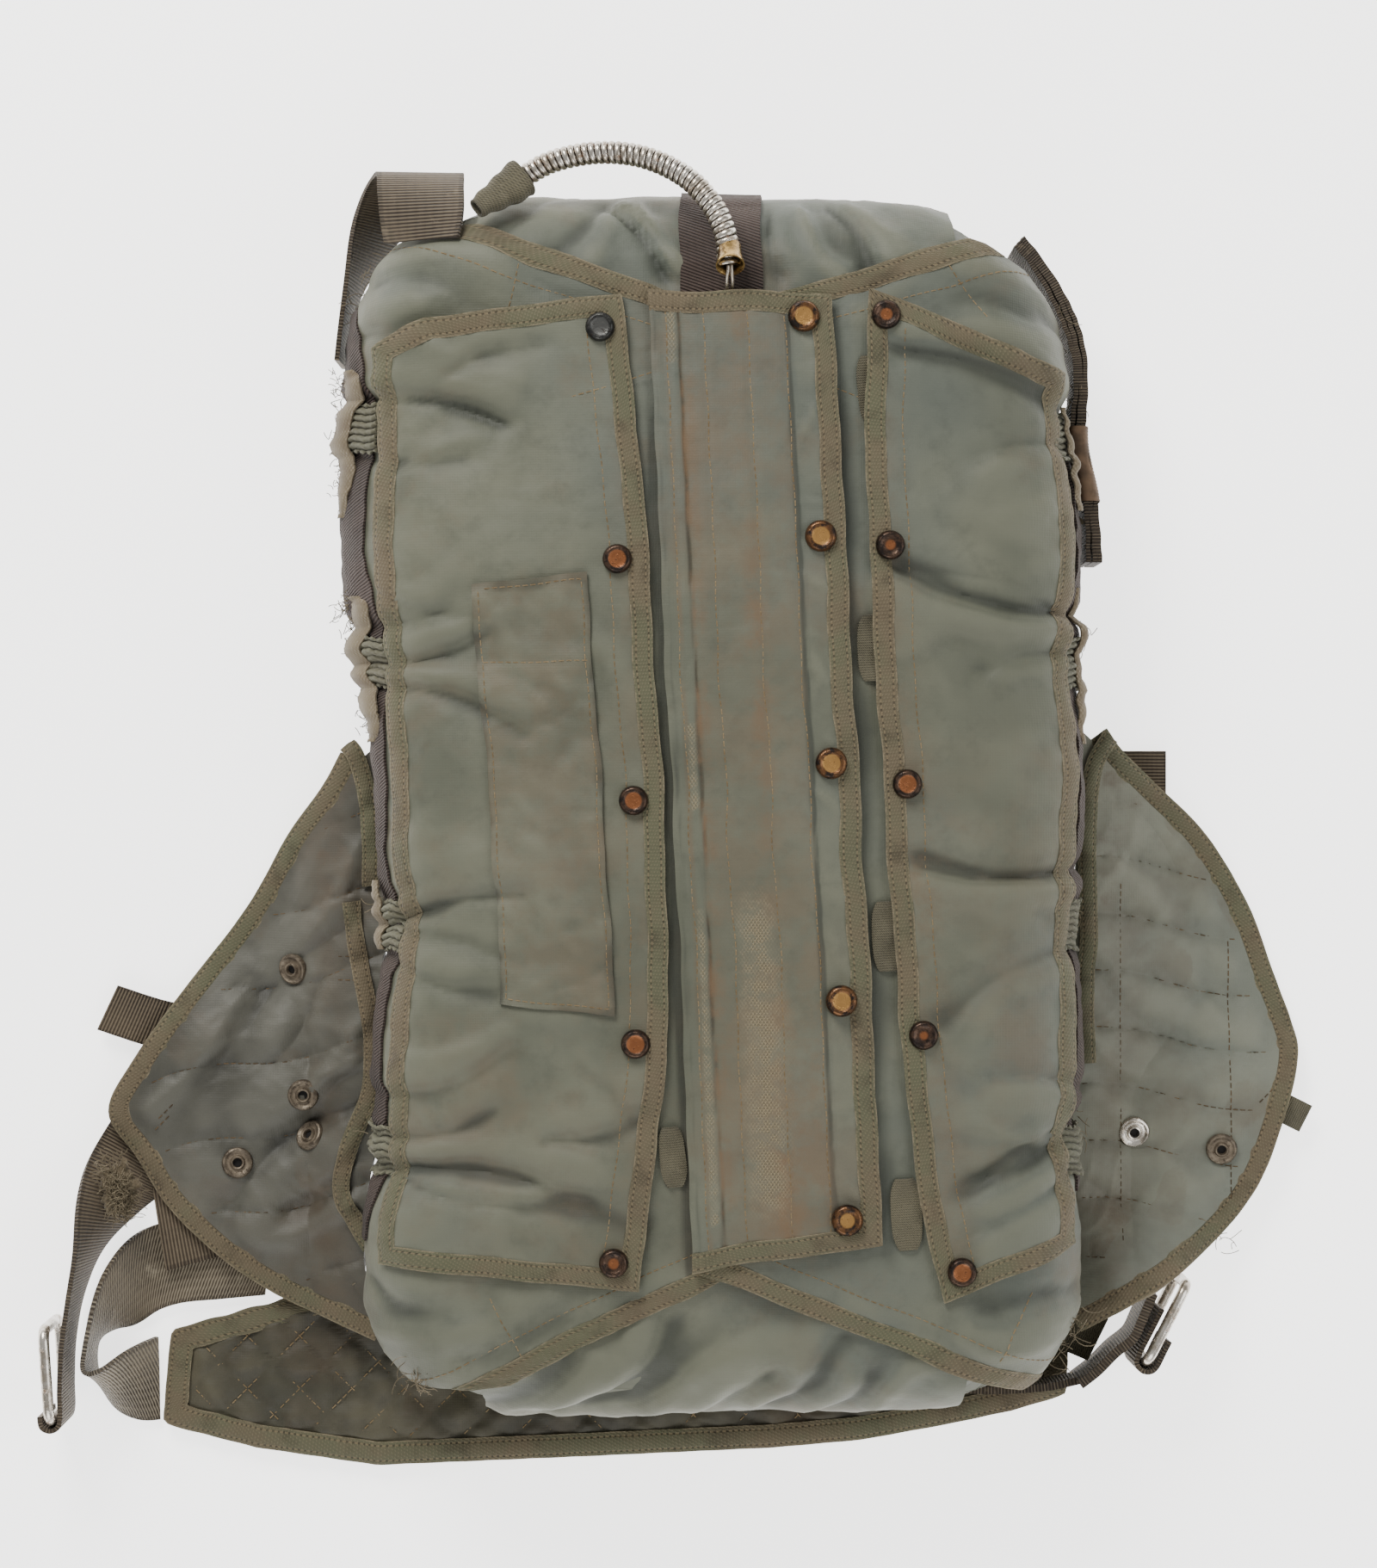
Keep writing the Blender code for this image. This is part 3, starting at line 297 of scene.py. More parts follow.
materials = {
    "cloth": clothMaterial("packCloth", packCloth),
    "quilt": clothMaterial("quiltCloth", quiltCloth),
    "quiltRight": clothMaterial("quiltClothRight", quiltRight),
    "scrap": clothMaterial("scrapCloth", scrapCloth),
    "lumbar": clothMaterial("lumbarCloth", lumbarCloth),
    "band": clothMaterial("bandCloth", bandCloth),
    "tape": tapeMaterial("bindingTape", bindingTape),
    "webbing": webMaterial("harnessWebbing", harnessWebbing),
    "herring": webMaterial("herringWebbing", herringWebbing),
    "wall": webMaterial("wallWebbing", wallWebbing),
    "tab": webMaterial("tabCloth", tabCloth),
    "cap": metalMaterial("bronzeCap", bronze),
    "gold": metalMaterial("goldCap", goldCap),
    "black": metalMaterial("blackCap", blackCap),
    "socket": metalMaterial("socketMetal", socketMetal),
    "steel": metalMaterial("platedSteel", plated),
    "ribbed": metalMaterial("ribbedSteel", ribbed),
    "brass": metalMaterial("agedBrass", brassMetal),
    "thread": plainMaterial("wornThread", wornThread),
    "darkThread": plainMaterial("darkThread", darkThread),
    "wrap": plainMaterial("wrapThread", wrapThread),
    "canvas": plainMaterial("canvasThread", canvasThread),
    "hole": plainMaterial("paintedHoleShade", paintedHoleShade),
}
print("materials made")


# The filled pack's surface, as in the solids

pack = {
    "halfWidth": 0.174, "halfLength": 0.303, "coreX": 0.099, "coreY": 0.228, "top": 0.104,
    "base": 0.0115, "flat": 0.037, "shoulder": 0.038, "foot": 0.010, "crown": 0.014,
    "bandRows": (0.190, 0.074, -0.056, -0.168),
}
pack["shoulderReach"] = pack["flat"] + pack["shoulder"] * math.pi / 2
pack["wallReach"] = pack["shoulderReach"] + pack["top"] - pack["shoulder"] - pack["foot"] - pack["base"]
lifts = {"endFlap": 0.0022, "web": 0.0043, "flap": 0.0049, "panel": 0.0086, "cover": 0.0117}


def ramp(value, start, end):
    share = np.clip((value - start) / (end - start), 0, 1)
    return share * share * (3 - 2 * share)


def bell(value, width):
    return np.exp(-((value / width) ** 2))


def creased(x, y, table):  # folds as rows of x, y, x, y, width, depth in millimetres
    total = np.zeros_like(x)
    for row, (startX, startY, endX, endY, width, depth) in enumerate(table):
        dx, dy = (endX - startX) * mm, (endY - startY) * mm
        length = math.hypot(dx, dy)
        run = ((x - startX * mm) * dx + (y - startY * mm) * dy) / length
        side = ((y - startY * mm) * dx - (x - startX * mm) * dy) / length
        share = np.clip(run / length, 0, 1)
        side = side + (0.09 if row % 2 else -0.07) * length * np.sin(math.pi * share)
        beyond = np.maximum(0, np.maximum(-run, run - length))
        wide = width * mm * (0.7 + 0.5 * share)
        valley = 0.45 * np.exp(-((side / wide) ** 2)) + 0.55 * np.exp(-np.abs(side) / (1.1 * wide)) * np.exp(-((side / (2.4 * wide)) ** 2))
        shape = valley - 0.55 * np.exp(-(((side - 2.0 * wide) / (1.4 * wide)) ** 2))
        total += depth * mm * shape * np.exp(-((beyond / (1.6 * width * mm)) ** 2))
    return total


def ridges(x, y, size, seed, stretch=3.0):  # long sharp wrinkles, 0 between them and 1 on their crests
    total = np.zeros_like(x)
    for k in range(3):
        angle = seed + (k - 1) * 0.35
        over = x * np.cos(angle) + y * np.sin(angle)
        past = (y * np.cos(angle) - x * np.sin(angle)) / stretch
        rate = math.pi * (1 + 0.43 * k) / size
        bend = 1.6 * np.sin(0.9 * rate * past + seed * 3 + k) + 0.8 * np.sin(2.1 * rate * past + k * 2)
        crest = 1 - np.abs(np.sin(rate * over + bend))
        total += crest**2 * (0.5 + 0.5 * np.sin(0.7 * rate * (past + over) + seed + 2 * k))
    return total / 1.6


def crumple(x, y, size, seed, stretch=1.0):  # soft uneven waves between about -1 and 1
    total = np.zeros_like(x)
    for k in range(6):
        angle = seed * 1.7 + k * 2.399
        rate = 2 * math.pi * (1 + 0.37 * k) / size
        over = x * math.cos(angle) + y * math.sin(angle) * stretch
        past = y * math.cos(angle) - x * math.sin(angle)
        total += np.sin(rate * over + 1.9 * np.sin(0.31 * rate * past + seed + k)) / (1 + 0.4 * k)
    return total / 2.4


# Folds drawn out of the bands and across the layers, seen from above
sharedFolds = (
    (-172, 204, -108, 190, 5, -3.4), (-176, 178, -128, 172, 5, -2.4), (-134, 213, -86, 228, 4, -1.6),
    (-176, 74, -118, 86, 5, -3.8), (-176, 62, -108, 44, 5, -3.0), (-174, 92, -130, 104, 5, -2.0),
    (-172, -56, -104, -40, 5, -3.8), (-172, -70, -120, -88, 5, -2.6), (-172, -44, -122, -30, 5, -2.0),
    (-172, -160, -116, -146, 4, -2.2), (-172, -176, -70, -190, 6, -4.8), (-172, -140, -110, -118, 5, -2.0),
    (90, 226, 168, 204, 7, -4.4), (178, 182, 128, 176, 4, -1.8), (172, 98, 84, 121, 6, -4.6),
    (176, 78, 128, 70, 4, -1.8), (176, -27, 98, -24, 6, -4.8), (172, -66, 108, -102, 6, -2.2),
    (176, -150, 124, -182, 7, -5.0), (174, -138, 132, -128, 5, -2.4), (168, -176, 126, -204, 5, -3.0),
    (-84, -160, -40, -150, 6, -3.0), (-96, -196, -44, -202, 6, -2.0),
)


def packPoint(across, along, lift=0.0, folds=1.0):  # point and normal over the pack
    across, along = np.broadcast_arrays(np.asarray(across, float), np.asarray(along, float))
    awayX = across - np.clip(across, -pack["coreX"], pack["coreX"])
    awayY = along - np.clip(along, -pack["coreY"], pack["coreY"])
    reach = np.hypot(awayX, awayY)
    whole = np.where(reach > 0, reach, 1.0)
    outX = np.where(reach > 0, awayX / whole, 1.0)
    outY = np.where(reach > 0, awayY / whole, 0.0)
    turn = np.clip((reach - pack["flat"]) / pack["shoulder"], 0, math.pi / 2)
    under = np.clip((reach - pack["wallReach"]) / pack["foot"], 0, math.pi / 2)
    out = np.minimum(reach, pack["flat"]) + pack["shoulder"] * np.sin(turn) - pack["foot"] * (1 - np.cos(under))
    fall = np.clip(reach - pack["shoulderReach"], 0, pack["wallReach"] - pack["shoulderReach"])
    z = pack["top"] - pack["shoulder"] * (1 - np.cos(turn)) - fall - pack["foot"] * np.sin(under)
    x, y = across - awayX + outX * out, along - awayY + outY * out
    lean = turn + under
    normal = np.stack([outX * np.sin(lean), outY * np.sin(lean), np.cos(lean)], -1)
    shareX, shareY = x / pack["halfWidth"], y / pack["halfLength"]
    crown = pack["crown"] * np.maximum(0, 1 - shareX**2) * np.maximum(0, 1 - shareY**2)
    crown = crown * (z - pack["base"]) / (pack["top"] - pack["base"])
    pull = sum(bell(y - row, 0.024) for row in pack["bandRows"])
    free = ramp(z, pack["base"], pack["base"] + 0.020)
    gather = 0.0048 * pull * ramp(np.abs(x), 0.050, 0.150) * free
    relief = creased(x, y, sharedFolds) * free + crumple(x, y, 0.13, 3.0) * 0.0010 * free
    relief = relief * folds
    push = lift - gather + relief
    placedX = x + normal[..., 0] * push
    placedY = y + normal[..., 1] * push
    placedZ = z + normal[..., 2] * push + crown
    waist = 0.013 * bell(y + 0.055, 0.150) * np.maximum(0, -shareX) ** 1.5
    flare = (0.004 + 0.009 * ramp(y, 0.030, 0.120)) * ramp(pack["top"] - z, 0, 0.055)
    flare = flare * ramp(1 - np.abs(shareY), 0.05, 0.40) * np.maximum(0, -shareX)
    corner = np.maximum(0, shareX) * np.maximum(0, shareY)
    placedX = placedX + waist - flare - 0.026 * corner**3 / math.sqrt(2)
    placedY = placedY + 0.008 * np.maximum(0, -shareY) ** 4 - 0.026 * corner**3 / math.sqrt(2)
    return np.stack([placedX, placedY, placedZ], -1), normal, relief


def cornerEase(across, along):
    return 0.0020 * ramp(np.abs(across), 0.088, 0.112) * ramp(np.abs(along), 0.232, 0.262)


# Making pieces

def deselect():
    bpy.ops.object.select_all(action="DESELECT")


def gridObject(name, across, along):  # a grid with its own column and row for each point
    deselect()
    bpy.ops.mesh.primitive_grid_add(x_subdivisions=across, y_subdivisions=along, size=1, location=(0, 0, 0))
    made = bpy.context.object
    made.name = name
    made.data.name = name
    spots = np.empty(len(made.data.vertices) * 3)
    made.data.vertices.foreach_get("co", spots)
    spots = spots.reshape(-1, 3)
    columns = np.rint((spots[:, 0] + 0.5) * across).astype(int)
    rows = np.rint((spots[:, 1] + 0.5) * along).astype(int)
    return made, columns, rows


def setPoints(made, points):
    made.data.vertices.foreach_set("co", np.ascontiguousarray(points, float).ravel())
    made.data.update()


def setFlat(made, u, v):  # the piece's own flat places, one for each point
    corners = np.empty(len(made.data.loops), int)
    made.data.loops.foreach_get("vertex_index", corners)
    layer = made.data.uv_layers[0] if made.data.uv_layers else made.data.uv_layers.new(name="flat")
    layer.data.foreach_set("uv", np.stack([u[corners], v[corners]], -1).astype(float).ravel())


def paint(made, name, values):
    layer = made.data.attributes.new(name, "FLOAT", "POINT")
    layer.data.foreach_set("value", np.asarray(values, float).ravel())


def applyModifier(made, kind, **settings):
    deselect()
    bpy.context.view_layer.objects.active = made
    made.select_set(True)
    modifier = made.modifiers.new(kind.title(), kind)
    for key, value in settings.items():
        setattr(modifier, key, value)
    bpy.ops.object.modifier_apply(modifier=modifier.name)
    return made


def smoothed(made, angle=50):
    deselect()
    bpy.context.view_layer.objects.active = made
    made.select_set(True)
    bpy.ops.object.shade_smooth_by_angle(angle=math.radians(angle))
    return made


def rested(made):  # nothing reaches below the surface that the piece lies on
    spots = np.empty(len(made.data.vertices) * 3)
    made.data.vertices.foreach_get("co", spots)
    spots = spots.reshape(-1, 3)
    spots[:, 2] = np.maximum(spots[:, 2], 0.0)
    setPoints(made, spots)


def dress(made, finish, *nodes):  # gives a piece its finish, its body and the nodes it stands for
    made.data.materials.clear()
    made.data.materials.append(materials[finish])
    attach(made, "root")
    if nodes:
        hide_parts(*nodes)
    return made


def chain(points, closed=False):  # a line's points with the length to each
    points = np.asarray(points, float)
    steps = np.hypot(*np.diff(points[:, :2], axis=0).T)
    return points, np.concatenate([[0], np.cumsum(steps)])


def along(points, shares):  # places at shares of a line's length
    points, lengths = chain(points)
    return np.stack([np.interp(shares * lengths[-1], lengths, points[:, k]) for k in range(points.shape[1])], -1)


def curved(points, steps=4):  # a smooth line through the points
    points = [tuple(map(float, p)) for p in points]
    ends = [points[0], *points, points[-1]]
    made = []
    for a, b, c, d in zip(ends, ends[1:], ends[2:], ends[3:]):
        for k in range(steps):
            t = k / steps
            made.append([0.5 * (2 * q + (r - p) * t + (2 * p - 5 * q + 4 * r - s) * t * t
                                + (3 * q - p - 3 * r + s) * t**3) for p, q, r, s in zip(a, b, c, d)])
    return made + [list(points[-1])]


def patch(bottom, top, left, right, across, rows, bias=1.0):  # a grid stretched between four lines
    u, v = np.linspace(0, 1, across + 1), np.linspace(0, 1, rows + 1) ** bias
    low, high = np.array(along(bottom, u)), np.array(along(top, u))
    west, east = np.array(along(left, v)), np.array(along(right, v))
    uu, vv = u[None, :, None], v[:, None, None]
    ruled = (1 - vv) * low[None] + vv * high[None] + (1 - uu) * west[:, None] + uu * east[:, None]
    corners = (1 - uu) * (1 - vv) * low[0] + uu * (1 - vv) * low[-1] + (1 - uu) * vv * high[0] + uu * vv * high[-1]
    return ruled - corners


def ringInset(points, distances):  # a closed anticlockwise outline moved inwards, side by side
    moved = []
    count = len(points)
    for i in range(count):
        lines = []
        for start, end, distance in ((points[i - 1], points[i], distances[i - 1]),
                                     (points[i], points[(i + 1) % count], distances[i])):
            way = np.subtract(end, start)
            way = way / np.hypot(*way)
            shift = np.array([-way[1], way[0]]) * distance
            lines.append((np.add(start, shift), way, np.add(end, shift)))
        (a, first, b), (c, second, _) = lines
        cross = first[0] * second[1] - first[1] * second[0]
        if abs(cross) < 0.05:
            moved.append(tuple((b + c) / 2))
        else:
            share = ((c[0] - a[0]) * second[1] - (c[1] - a[1]) * second[0]) / cross
            moved.append(tuple(a + first * share))
    return moved


def drift(points):  # edges that aren't ruler straight
    x, y = points[..., 0], points[..., 1]
    moved = np.array(points, float)
    moved[..., 0] += 0.0007 * np.sin(y * 43 + 2 * np.sin(y * 19)) + 0.0003 * np.sin(y * 170 + x * 30)
    moved[..., 1] += 0.0007 * np.sin(x * 47 + 1.7 * np.sin(x * 31)) + 0.0003 * np.sin(x * 150)
    return moved


def layCloth(name, sides, lift, cell, thickness, finish, nodes, extra=None, marks=None, folds=1.0):
    bottom, top, left, right = (np.asarray(line, float) * mm for line in sides)
    width = max(chain(bottom)[1][-1], chain(top)[1][-1])
    height = max(chain(left)[1][-1], chain(right)[1][-1])
    across, rows = max(2, round(width / cell)), max(2, round(height / cell))
    net = drift(patch(bottom, top, left, right, across, rows))
    made, columns, lines = gridObject(name, across, rows)
    s, t = net[lines, columns, 0], net[lines, columns, 1]
    height = lift(s, t) if callable(lift) else np.full_like(s, lift)
    own = extra(s, t) if extra else np.zeros_like(s)
    points, normal, relief = packPoint(s, t, height + own, folds)
    setPoints(made, points)
    setFlat(made, s, t)
    # painted shade in the folds and painted highlight on their ridges, from the relief, plus the painted shade and
    # light that marks add
    shade = marks["paintedShading"](s, t) if marks and "paintedShading" in marks else 0.0
    paint(made, "paintedShading", 0.5 + (own + relief) / 0.0045 + shade)
    for key in ("stain", "worn"):
        paint(made, key, marks[key](s, t) if marks and key in marks else np.zeros_like(s))
    applyModifier(made, "SOLIDIFY", thickness=thickness, offset=0.0)
    smoothed(made)
    return dress(made, finish, *nodes)


def layTape(name, outer, inner, lift, thickness, nodes, folds=1.0, finish="tape", extra=None, bulge=0.0006):
    # outer and inner are matching lines in millimetres over the pack
    outer, inner = np.asarray(outer, float) * mm, np.asarray(inner, float) * mm
    steps, lengths = chain((outer + inner) / 2)
    rows = max(2, round(lengths[-1] / 0.003))
    cuts = np.unique(np.concatenate([np.linspace(0, lengths[-1], rows + 1), lengths]))
    pick = lambda line: np.stack([np.interp(cuts, lengths, line[:, k]) for k in (0, 1)], -1)
    first, last = drift(pick(outer)), drift(pick(inner))
    made, columns, lines = gridObject(name, 5, len(cuts) - 1)
    share = columns / 5
    place = first[lines] * (1 - share[:, None]) + last[lines] * share[:, None]
    s, t = place[:, 0], place[:, 1]
    height = lift(s, t) if callable(lift) else np.full_like(s, lift)
    own = extra(s, t) if extra else 0.0
    height = height + own + bulge * (np.sin(math.pi * share) - 0.5) + 0.0002 * np.sin(cuts[lines] * 420 + 2 * np.sin(cuts[lines] * 90))
    points, normal, relief = packPoint(s, t, height, folds)
    setPoints(made, points)
    setFlat(made, share, cuts[lines])
    applyModifier(made, "SOLIDIFY", thickness=thickness, offset=0.0)
    smoothed(made, 60)
    return dress(made, finish, *nodes)


def sew(name, lines, place, finish="thread", dash=0.0027, gap=0.0012, wander=True):
    # rows of stitches, each line in millimetres, put where place says
    points, faces = [], []
    for line in lines:
        path = np.asarray(line, float) * mm
        path, lengths = chain(path)
        starts = np.arange(0.001, lengths[-1] - dash, dash + gap)
        if not len(starts):
            continue
        spot = lambda l: (drift if wander else np.array)(np.stack([np.interp(l, lengths, path[:, k]) for k in (0, 1)], -1))
        a, b = spot(starts), spot(starts + dash)
        way = b - a
        way = way / np.hypot(way[:, 0], way[:, 1])[:, None]
        side = np.stack([-way[:, 1], way[:, 0]], -1) * 0.00028
        ends = []
        for at, rise in ((a - side, 0.0), (a + side, 0.0), (b + side, 0.0), (b - side, 0.0), ((a + b) / 2, 0.00035)):
            ends.append(place(at[:, 0], at[:, 1], rise))
        base = len(points)
        block = np.stack(ends, 1).reshape(-1, 3)
        points.extend(block.tolist())
        for k in range(len(starts)):
            n = base + 5 * k
            faces += [(n, n + 1, n + 4), (n + 1, n + 2, n + 4), (n + 2, n + 3, n + 4), (n + 3, n, n + 4)]
    mesh = bpy.data.meshes.new(name)
    mesh.from_pydata(points, [], faces)
    made = bpy.data.objects.new(name, mesh)
    bpy.context.collection.objects.link(made)
    return dress(made, finish)


def shoelace(points):
    points = np.asarray(points, float) * mm
    x, y = points[:, 0], points[:, 1]
    return abs(np.dot(x, np.roll(y, -1)) - np.dot(y, np.roll(x, -1))) / 2


def declareSheet(made, outline):
    spots = np.asarray(outline, float) * mm
    float(shoelace(outline))


# Filled pack

fillShape = {"sink": 0.0012}
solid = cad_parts["pack_body"]
fill = bpy.data.objects.new("packFill", solid.data.copy())
bpy.context.collection.objects.link(fill)
spots = np.empty(len(fill.data.vertices) * 3)
fill.data.vertices.foreach_get("co", spots)
normals = np.empty(len(spots))
fill.data.vertices.foreach_get("normal", normals)
spots, normals = spots.reshape(-1, 3), normals.reshape(-1, 3)
free = ramp(spots[:, 2], pack["base"], pack["base"] + 0.020)
sunk = np.minimum(0, creased(spots[:, 0], spots[:, 1], sharedFolds)) * free - fillShape["sink"] * free
setPoints(fill, spots + normals * sunk[:, None])
# a little painted shade all over the filled pack, and no stain or wear
for key in ("paintedShading", "stain", "worn"):
    paint(fill, key, np.full(len(spots), 0.35 if key == "paintedShading" else 0.0))
smoothed(fill, 60)
dress(fill, "cloth", "pack_body")


# End flaps and the webbing at the top end

def pleat(s, t):  # soft pleats radiating from under the side flaps
    return creased(s, t, (
        (-52, 296, -28, 262, 4, -4.0), (-40, 300, -24, 268, 4, 2.4), (-60, 300, -84, 270, 6, -2.6), (40, 296, 58, 262, 5, 3.0),
        (56, 300, 74, 266, 5, -3.4), (24, 292, 28, 262, 4, -2.2), (-90, 306, -110, 280, 6, -2.0),
        (-64, -304, -24, -256, 6, -3.4), (-34, -304, 12, -266, 6, 2.8), (24, -306, 58, -262, 6, -3.4),
        (76, -304, 98, -272, 6, 2.6), (-104, -310, -66, -282, 7, 3.6), (-6, -312, 26, -280, 6, -3.0),
        (50, -312, 74, -284, 5, -2.6), (-84, -316, -50, -292, 5, -3.2), (-110, -322, -20, -300, 8, 3.4),
    )) + 0.0006 * crumple(s, t, 0.05, 5.0) + 0.0010 * ridges(s, t, 0.034, 0.9)


endFlaps = {"top": (212, 376), "bottom": (-376, -212), "halfWidth": 120}
for end in ("top", "bottom"):
    low, high = endFlaps[end]
    west, east = -endFlaps["halfWidth"], endFlaps["halfWidth"]
    sides = (((west, low), (east, low)), ((west, high), (east, high)), ((west, low), (west, high)), ((east, low), (east, high)))
    made = layCloth(end + "EndFlap", sides, lifts["endFlap"], 0.0030, 0.0014, "cloth", (end + "_end_flap",), pleat,
                    {"stain": lambda s, t: 0.5 * ramp(np.abs(t), 0.300, 0.350)})
    declareSheet(made, ((west, low), (east, low), (east, high), (west, high)))
made = layTape("topEndWebbing", [(-20, t) for t in range(253, 375, 8)], [(20, t) for t in range(253, 375, 8)],
               lifts["web"], 0.0018, ("centre_web",), finish="wall", bulge=0.0)


def onPack(lift, extra=None, folds=1.0):  # a placer for stitches over a layer
    def place(s, t, rise):
        height = (lift(s, t) if callable(lift) else lift) + (extra(s, t) if extra else 0.0)
        return packPoint(s, t, height + rise, folds)[0]
    return place


# Side flaps

def leftFlapLift(s, t):
    return lifts["flap"] + cornerEase(s, t)


def rightFlapLift(s, t):
    return leftFlapLift(s, t) + 0.0033 * (1 - ramp(s, 0.014, 0.056))


def coverWest(t):  # the ripcord cover's left edge
    return (-36 + (254 - t / mm) * 23 / 479) * mm


def coverEast(t):
    return (53 + (252 - t / mm) * 26 / 463) * mm


def flapWrinkle(s, t):  # small crumples, strongest at the walls and the corners
    edge = 0.25 + 0.75 * ramp(np.abs(s), 0.13, 0.19)
    corner = ramp(np.abs(t), 0.215, 0.250)
    fine = 0.0006 * crumple(s, t, 0.045, 2.0) + 0.0003 * crumple(s, t, 0.02, 9.0) + 0.0009 * ridges(s, t, 0.040, 0.5)
    return fine * edge + 0.0012 * ridges(s, t, 0.046, np.pi / 4) * corner + creased(s, t, flapFolds)


flapFolds = (
    (-170, 262, -120, 250, 7, -2.6), (-176, 236, -138, 240, 6, -2.2), (-150, 272, -100, 266, 5, 1.6), (-96, 266, -60, 246, 5, -1.4),
    (176, 250, 130, 256, 6, -2.0), (168, 262, 120, 268, 6, 1.8), (90, 268, 60, 252, 5, -1.2), (-176, -236, -140, -250, 7, -2.6),
    (-168, -262, -120, -256, 6, 1.8), (-130, -270, -80, -250, 6, -1.8), (-60, -246, -20, -240, 4, -1.0), (178, -240, 132, -246, 7, -2.8),
    (170, -262, 120, -262, 6, 2.0), (120, -272, 70, -256, 6, -1.8), (60, -250, 30, -240, 5, 1.2),
)


flaps = {
    "left": {
        "outline": ((-212, 272), (-212, -252), (-172, -292), (-104, -284), (9, -226), (9, 238), (-34, 257), (-118, 285), (-190, 285)),
        "bound": (3, 7), "sides": ((1, 2, 3, 4), (0, 8, 7, 6, 5), (1, 0), (4, 5)), "lift": leftFlapLift,
        "seams": (((-97, 272), (-106, 240)), ((-114, -240), (-96, -276))),
    },
    "right": {
        "outline": ((-10, 236), (-10, -226), (150, -292), (200, -266), (212, -248), (212, 238), (168, 275), (126, 284), (18, 250)),
        "bound": (7, 11), "sides": ((1, 2, 3, 4), (0, 8, 7, 6, 5), (1, 0), (4, 5)), "lift": rightFlapLift,
        "seams": (((109, 277), (134, 245)), ((152, -236), (132, -272))),
    },
}
tapeWidth = 10.0


def boundPiece(name, node, look, cell, thickness, tapeThickness, extra=None, marks=None):
    outline = [tuple(map(float, p)) for p in look["outline"]]
    count = len(outline)
    first, last = look.get("bound") or (0, count)
    taped = {i % count for i in range(first, last)}
    inner = ringInset(outline, [tapeWidth if i in taped else 0.0 for i in range(count)])
    hem = ringInset(outline, [tapeWidth - 1.5 if i in taped else 0.0 for i in range(count)])
    sides = [[hem[i] for i in order] for order in look["sides"]]
    cloth = layCloth(name, sides, look["lift"], cell, thickness, "cloth", (node,), extra, marks)
    order = [i % count for i in range(first, last + 1)] if look.get("bound") else [*range(count), 0]
    tape = layTape(name + "Binding", [outline[i] for i in order], [inner[i] for i in order], look["lift"],
                   tapeThickness, (node + "_binding",), extra=extra)
    declareSheet(cloth, hem)
    return cloth, outline


for side, look in flaps.items():
    node = "side_flap_" + side
    cloth, outline = boundPiece(side + "Flap", node, look, 0.0034, 0.0014, 0.0026, flapWrinkle, {
        "stain": lambda s, t: 0.35 * ramp(np.abs(s), 0.17, 0.21) + 0.25 * bell(s, 0.02),
        # painted shadow in the gaps along the ripcord cover's left and right edges
        "paintedShading": lambda s, t: -1.1 * bell(s - coverWest(t) + 0.0010, 0.0032) * ramp(t, -0.250, -0.225) * (1 - 0.7 * ramp(t, 0.15, 0.23))
        - 0.5 * bell(s - coverEast(t) - 0.003, 0.0055) * ramp(t, -0.24, -0.21) * (1 - ramp(t, 0.24, 0.26)),
    })
    count = len(outline)
    rows = []
    for i in ((3, 6) if side == "left" else (1, 7)):
        close = ringInset(outline, [19.0 if k == i else 0.0 for k in range(count)])
        rows.append((close[i], close[(i + 1) % count]))
    sew(side + "FlapStitches", [*rows, *look["seams"]], onPack(lambda s, t, lift=look["lift"]: lift(s, t) + 0.0008, flapWrinkle))
print("side flaps laid")


# Outer panels

def panelLift(s, t):
    return lifts["panel"] + cornerEase(s, t)


def panelPuff(s, t):  # each panel stands a little proud between the bands and wrinkles towards them
    near = sum(bell(t - row, 0.020) for row in pack["bandRows"])
    side = ramp(np.abs(s), 0.125, 0.165)
    puff = 0.0006 * (1 - near) * ramp(np.abs(s), 0.06, 0.15)
    puff = puff + 0.0007 * crumple(s, t, 0.060, 1.0) + 0.0004 * crumple(s, t, 0.024, 4.0) * (0.3 + side)
    turned = np.where(s < 0, 0.35, -0.35) + math.pi / 2
    puff = puff + 0.0012 * ridges(s, t, 0.050, turned) * (0.10 + 0.90 * near) * ramp(np.abs(s), 0.05, 0.12)
    return puff + creased(s, t, panelFolds)


panelFolds = (
    (-86, 96, -60, 60, 5, -1.0), (-96, 40, -62, 70, 5, -0.9), (-70, 20, -44, 0, 4, -1.0), (-80, -84, -46, -60, 5, -1.1),
    (-70, -128, -44, -150, 4, -1.2), (-110, -100, -60, -108, 5, -0.8), (-150, 210, -110, 222, 5, -0.8),
    (84, 70, 112, 82, 5, -1.0), (92, -20, 120, -28, 5, -1.2), (104, -120, 124, -136, 4, -1.2), (150, 230, 164, 190, 5, -1.0),
    (168, 96, 88, 118, 2.6, -1.2), (150, -31, 100, -27, 2.6, -1.4), (166, -156, 128, -180, 2.8, -1.6),
    (150, -160, 120, -150, 4, 1.6), (-166, 108, -120, 96, 3, -1.4), (-160, 200, -108, 189, 2.8, -1.2), (-166, -178, -80, -190, 2.8, -1.6),
    (-164, -60, -116, -70, 3, -1.4), (-150, 236, -100, 212, 4, 1.2), (-150, 170, -100, 186, 5, 1.0), (-160, -120, -110, -104, 5, 1.2),
    (90, -60, 110, -70, 4, -0.9), (110, 140, 150, 128, 6, -0.7), (-60, 170, -54, 140, 4, -0.6), (100, 200, 140, 190, 6, -0.7),
)
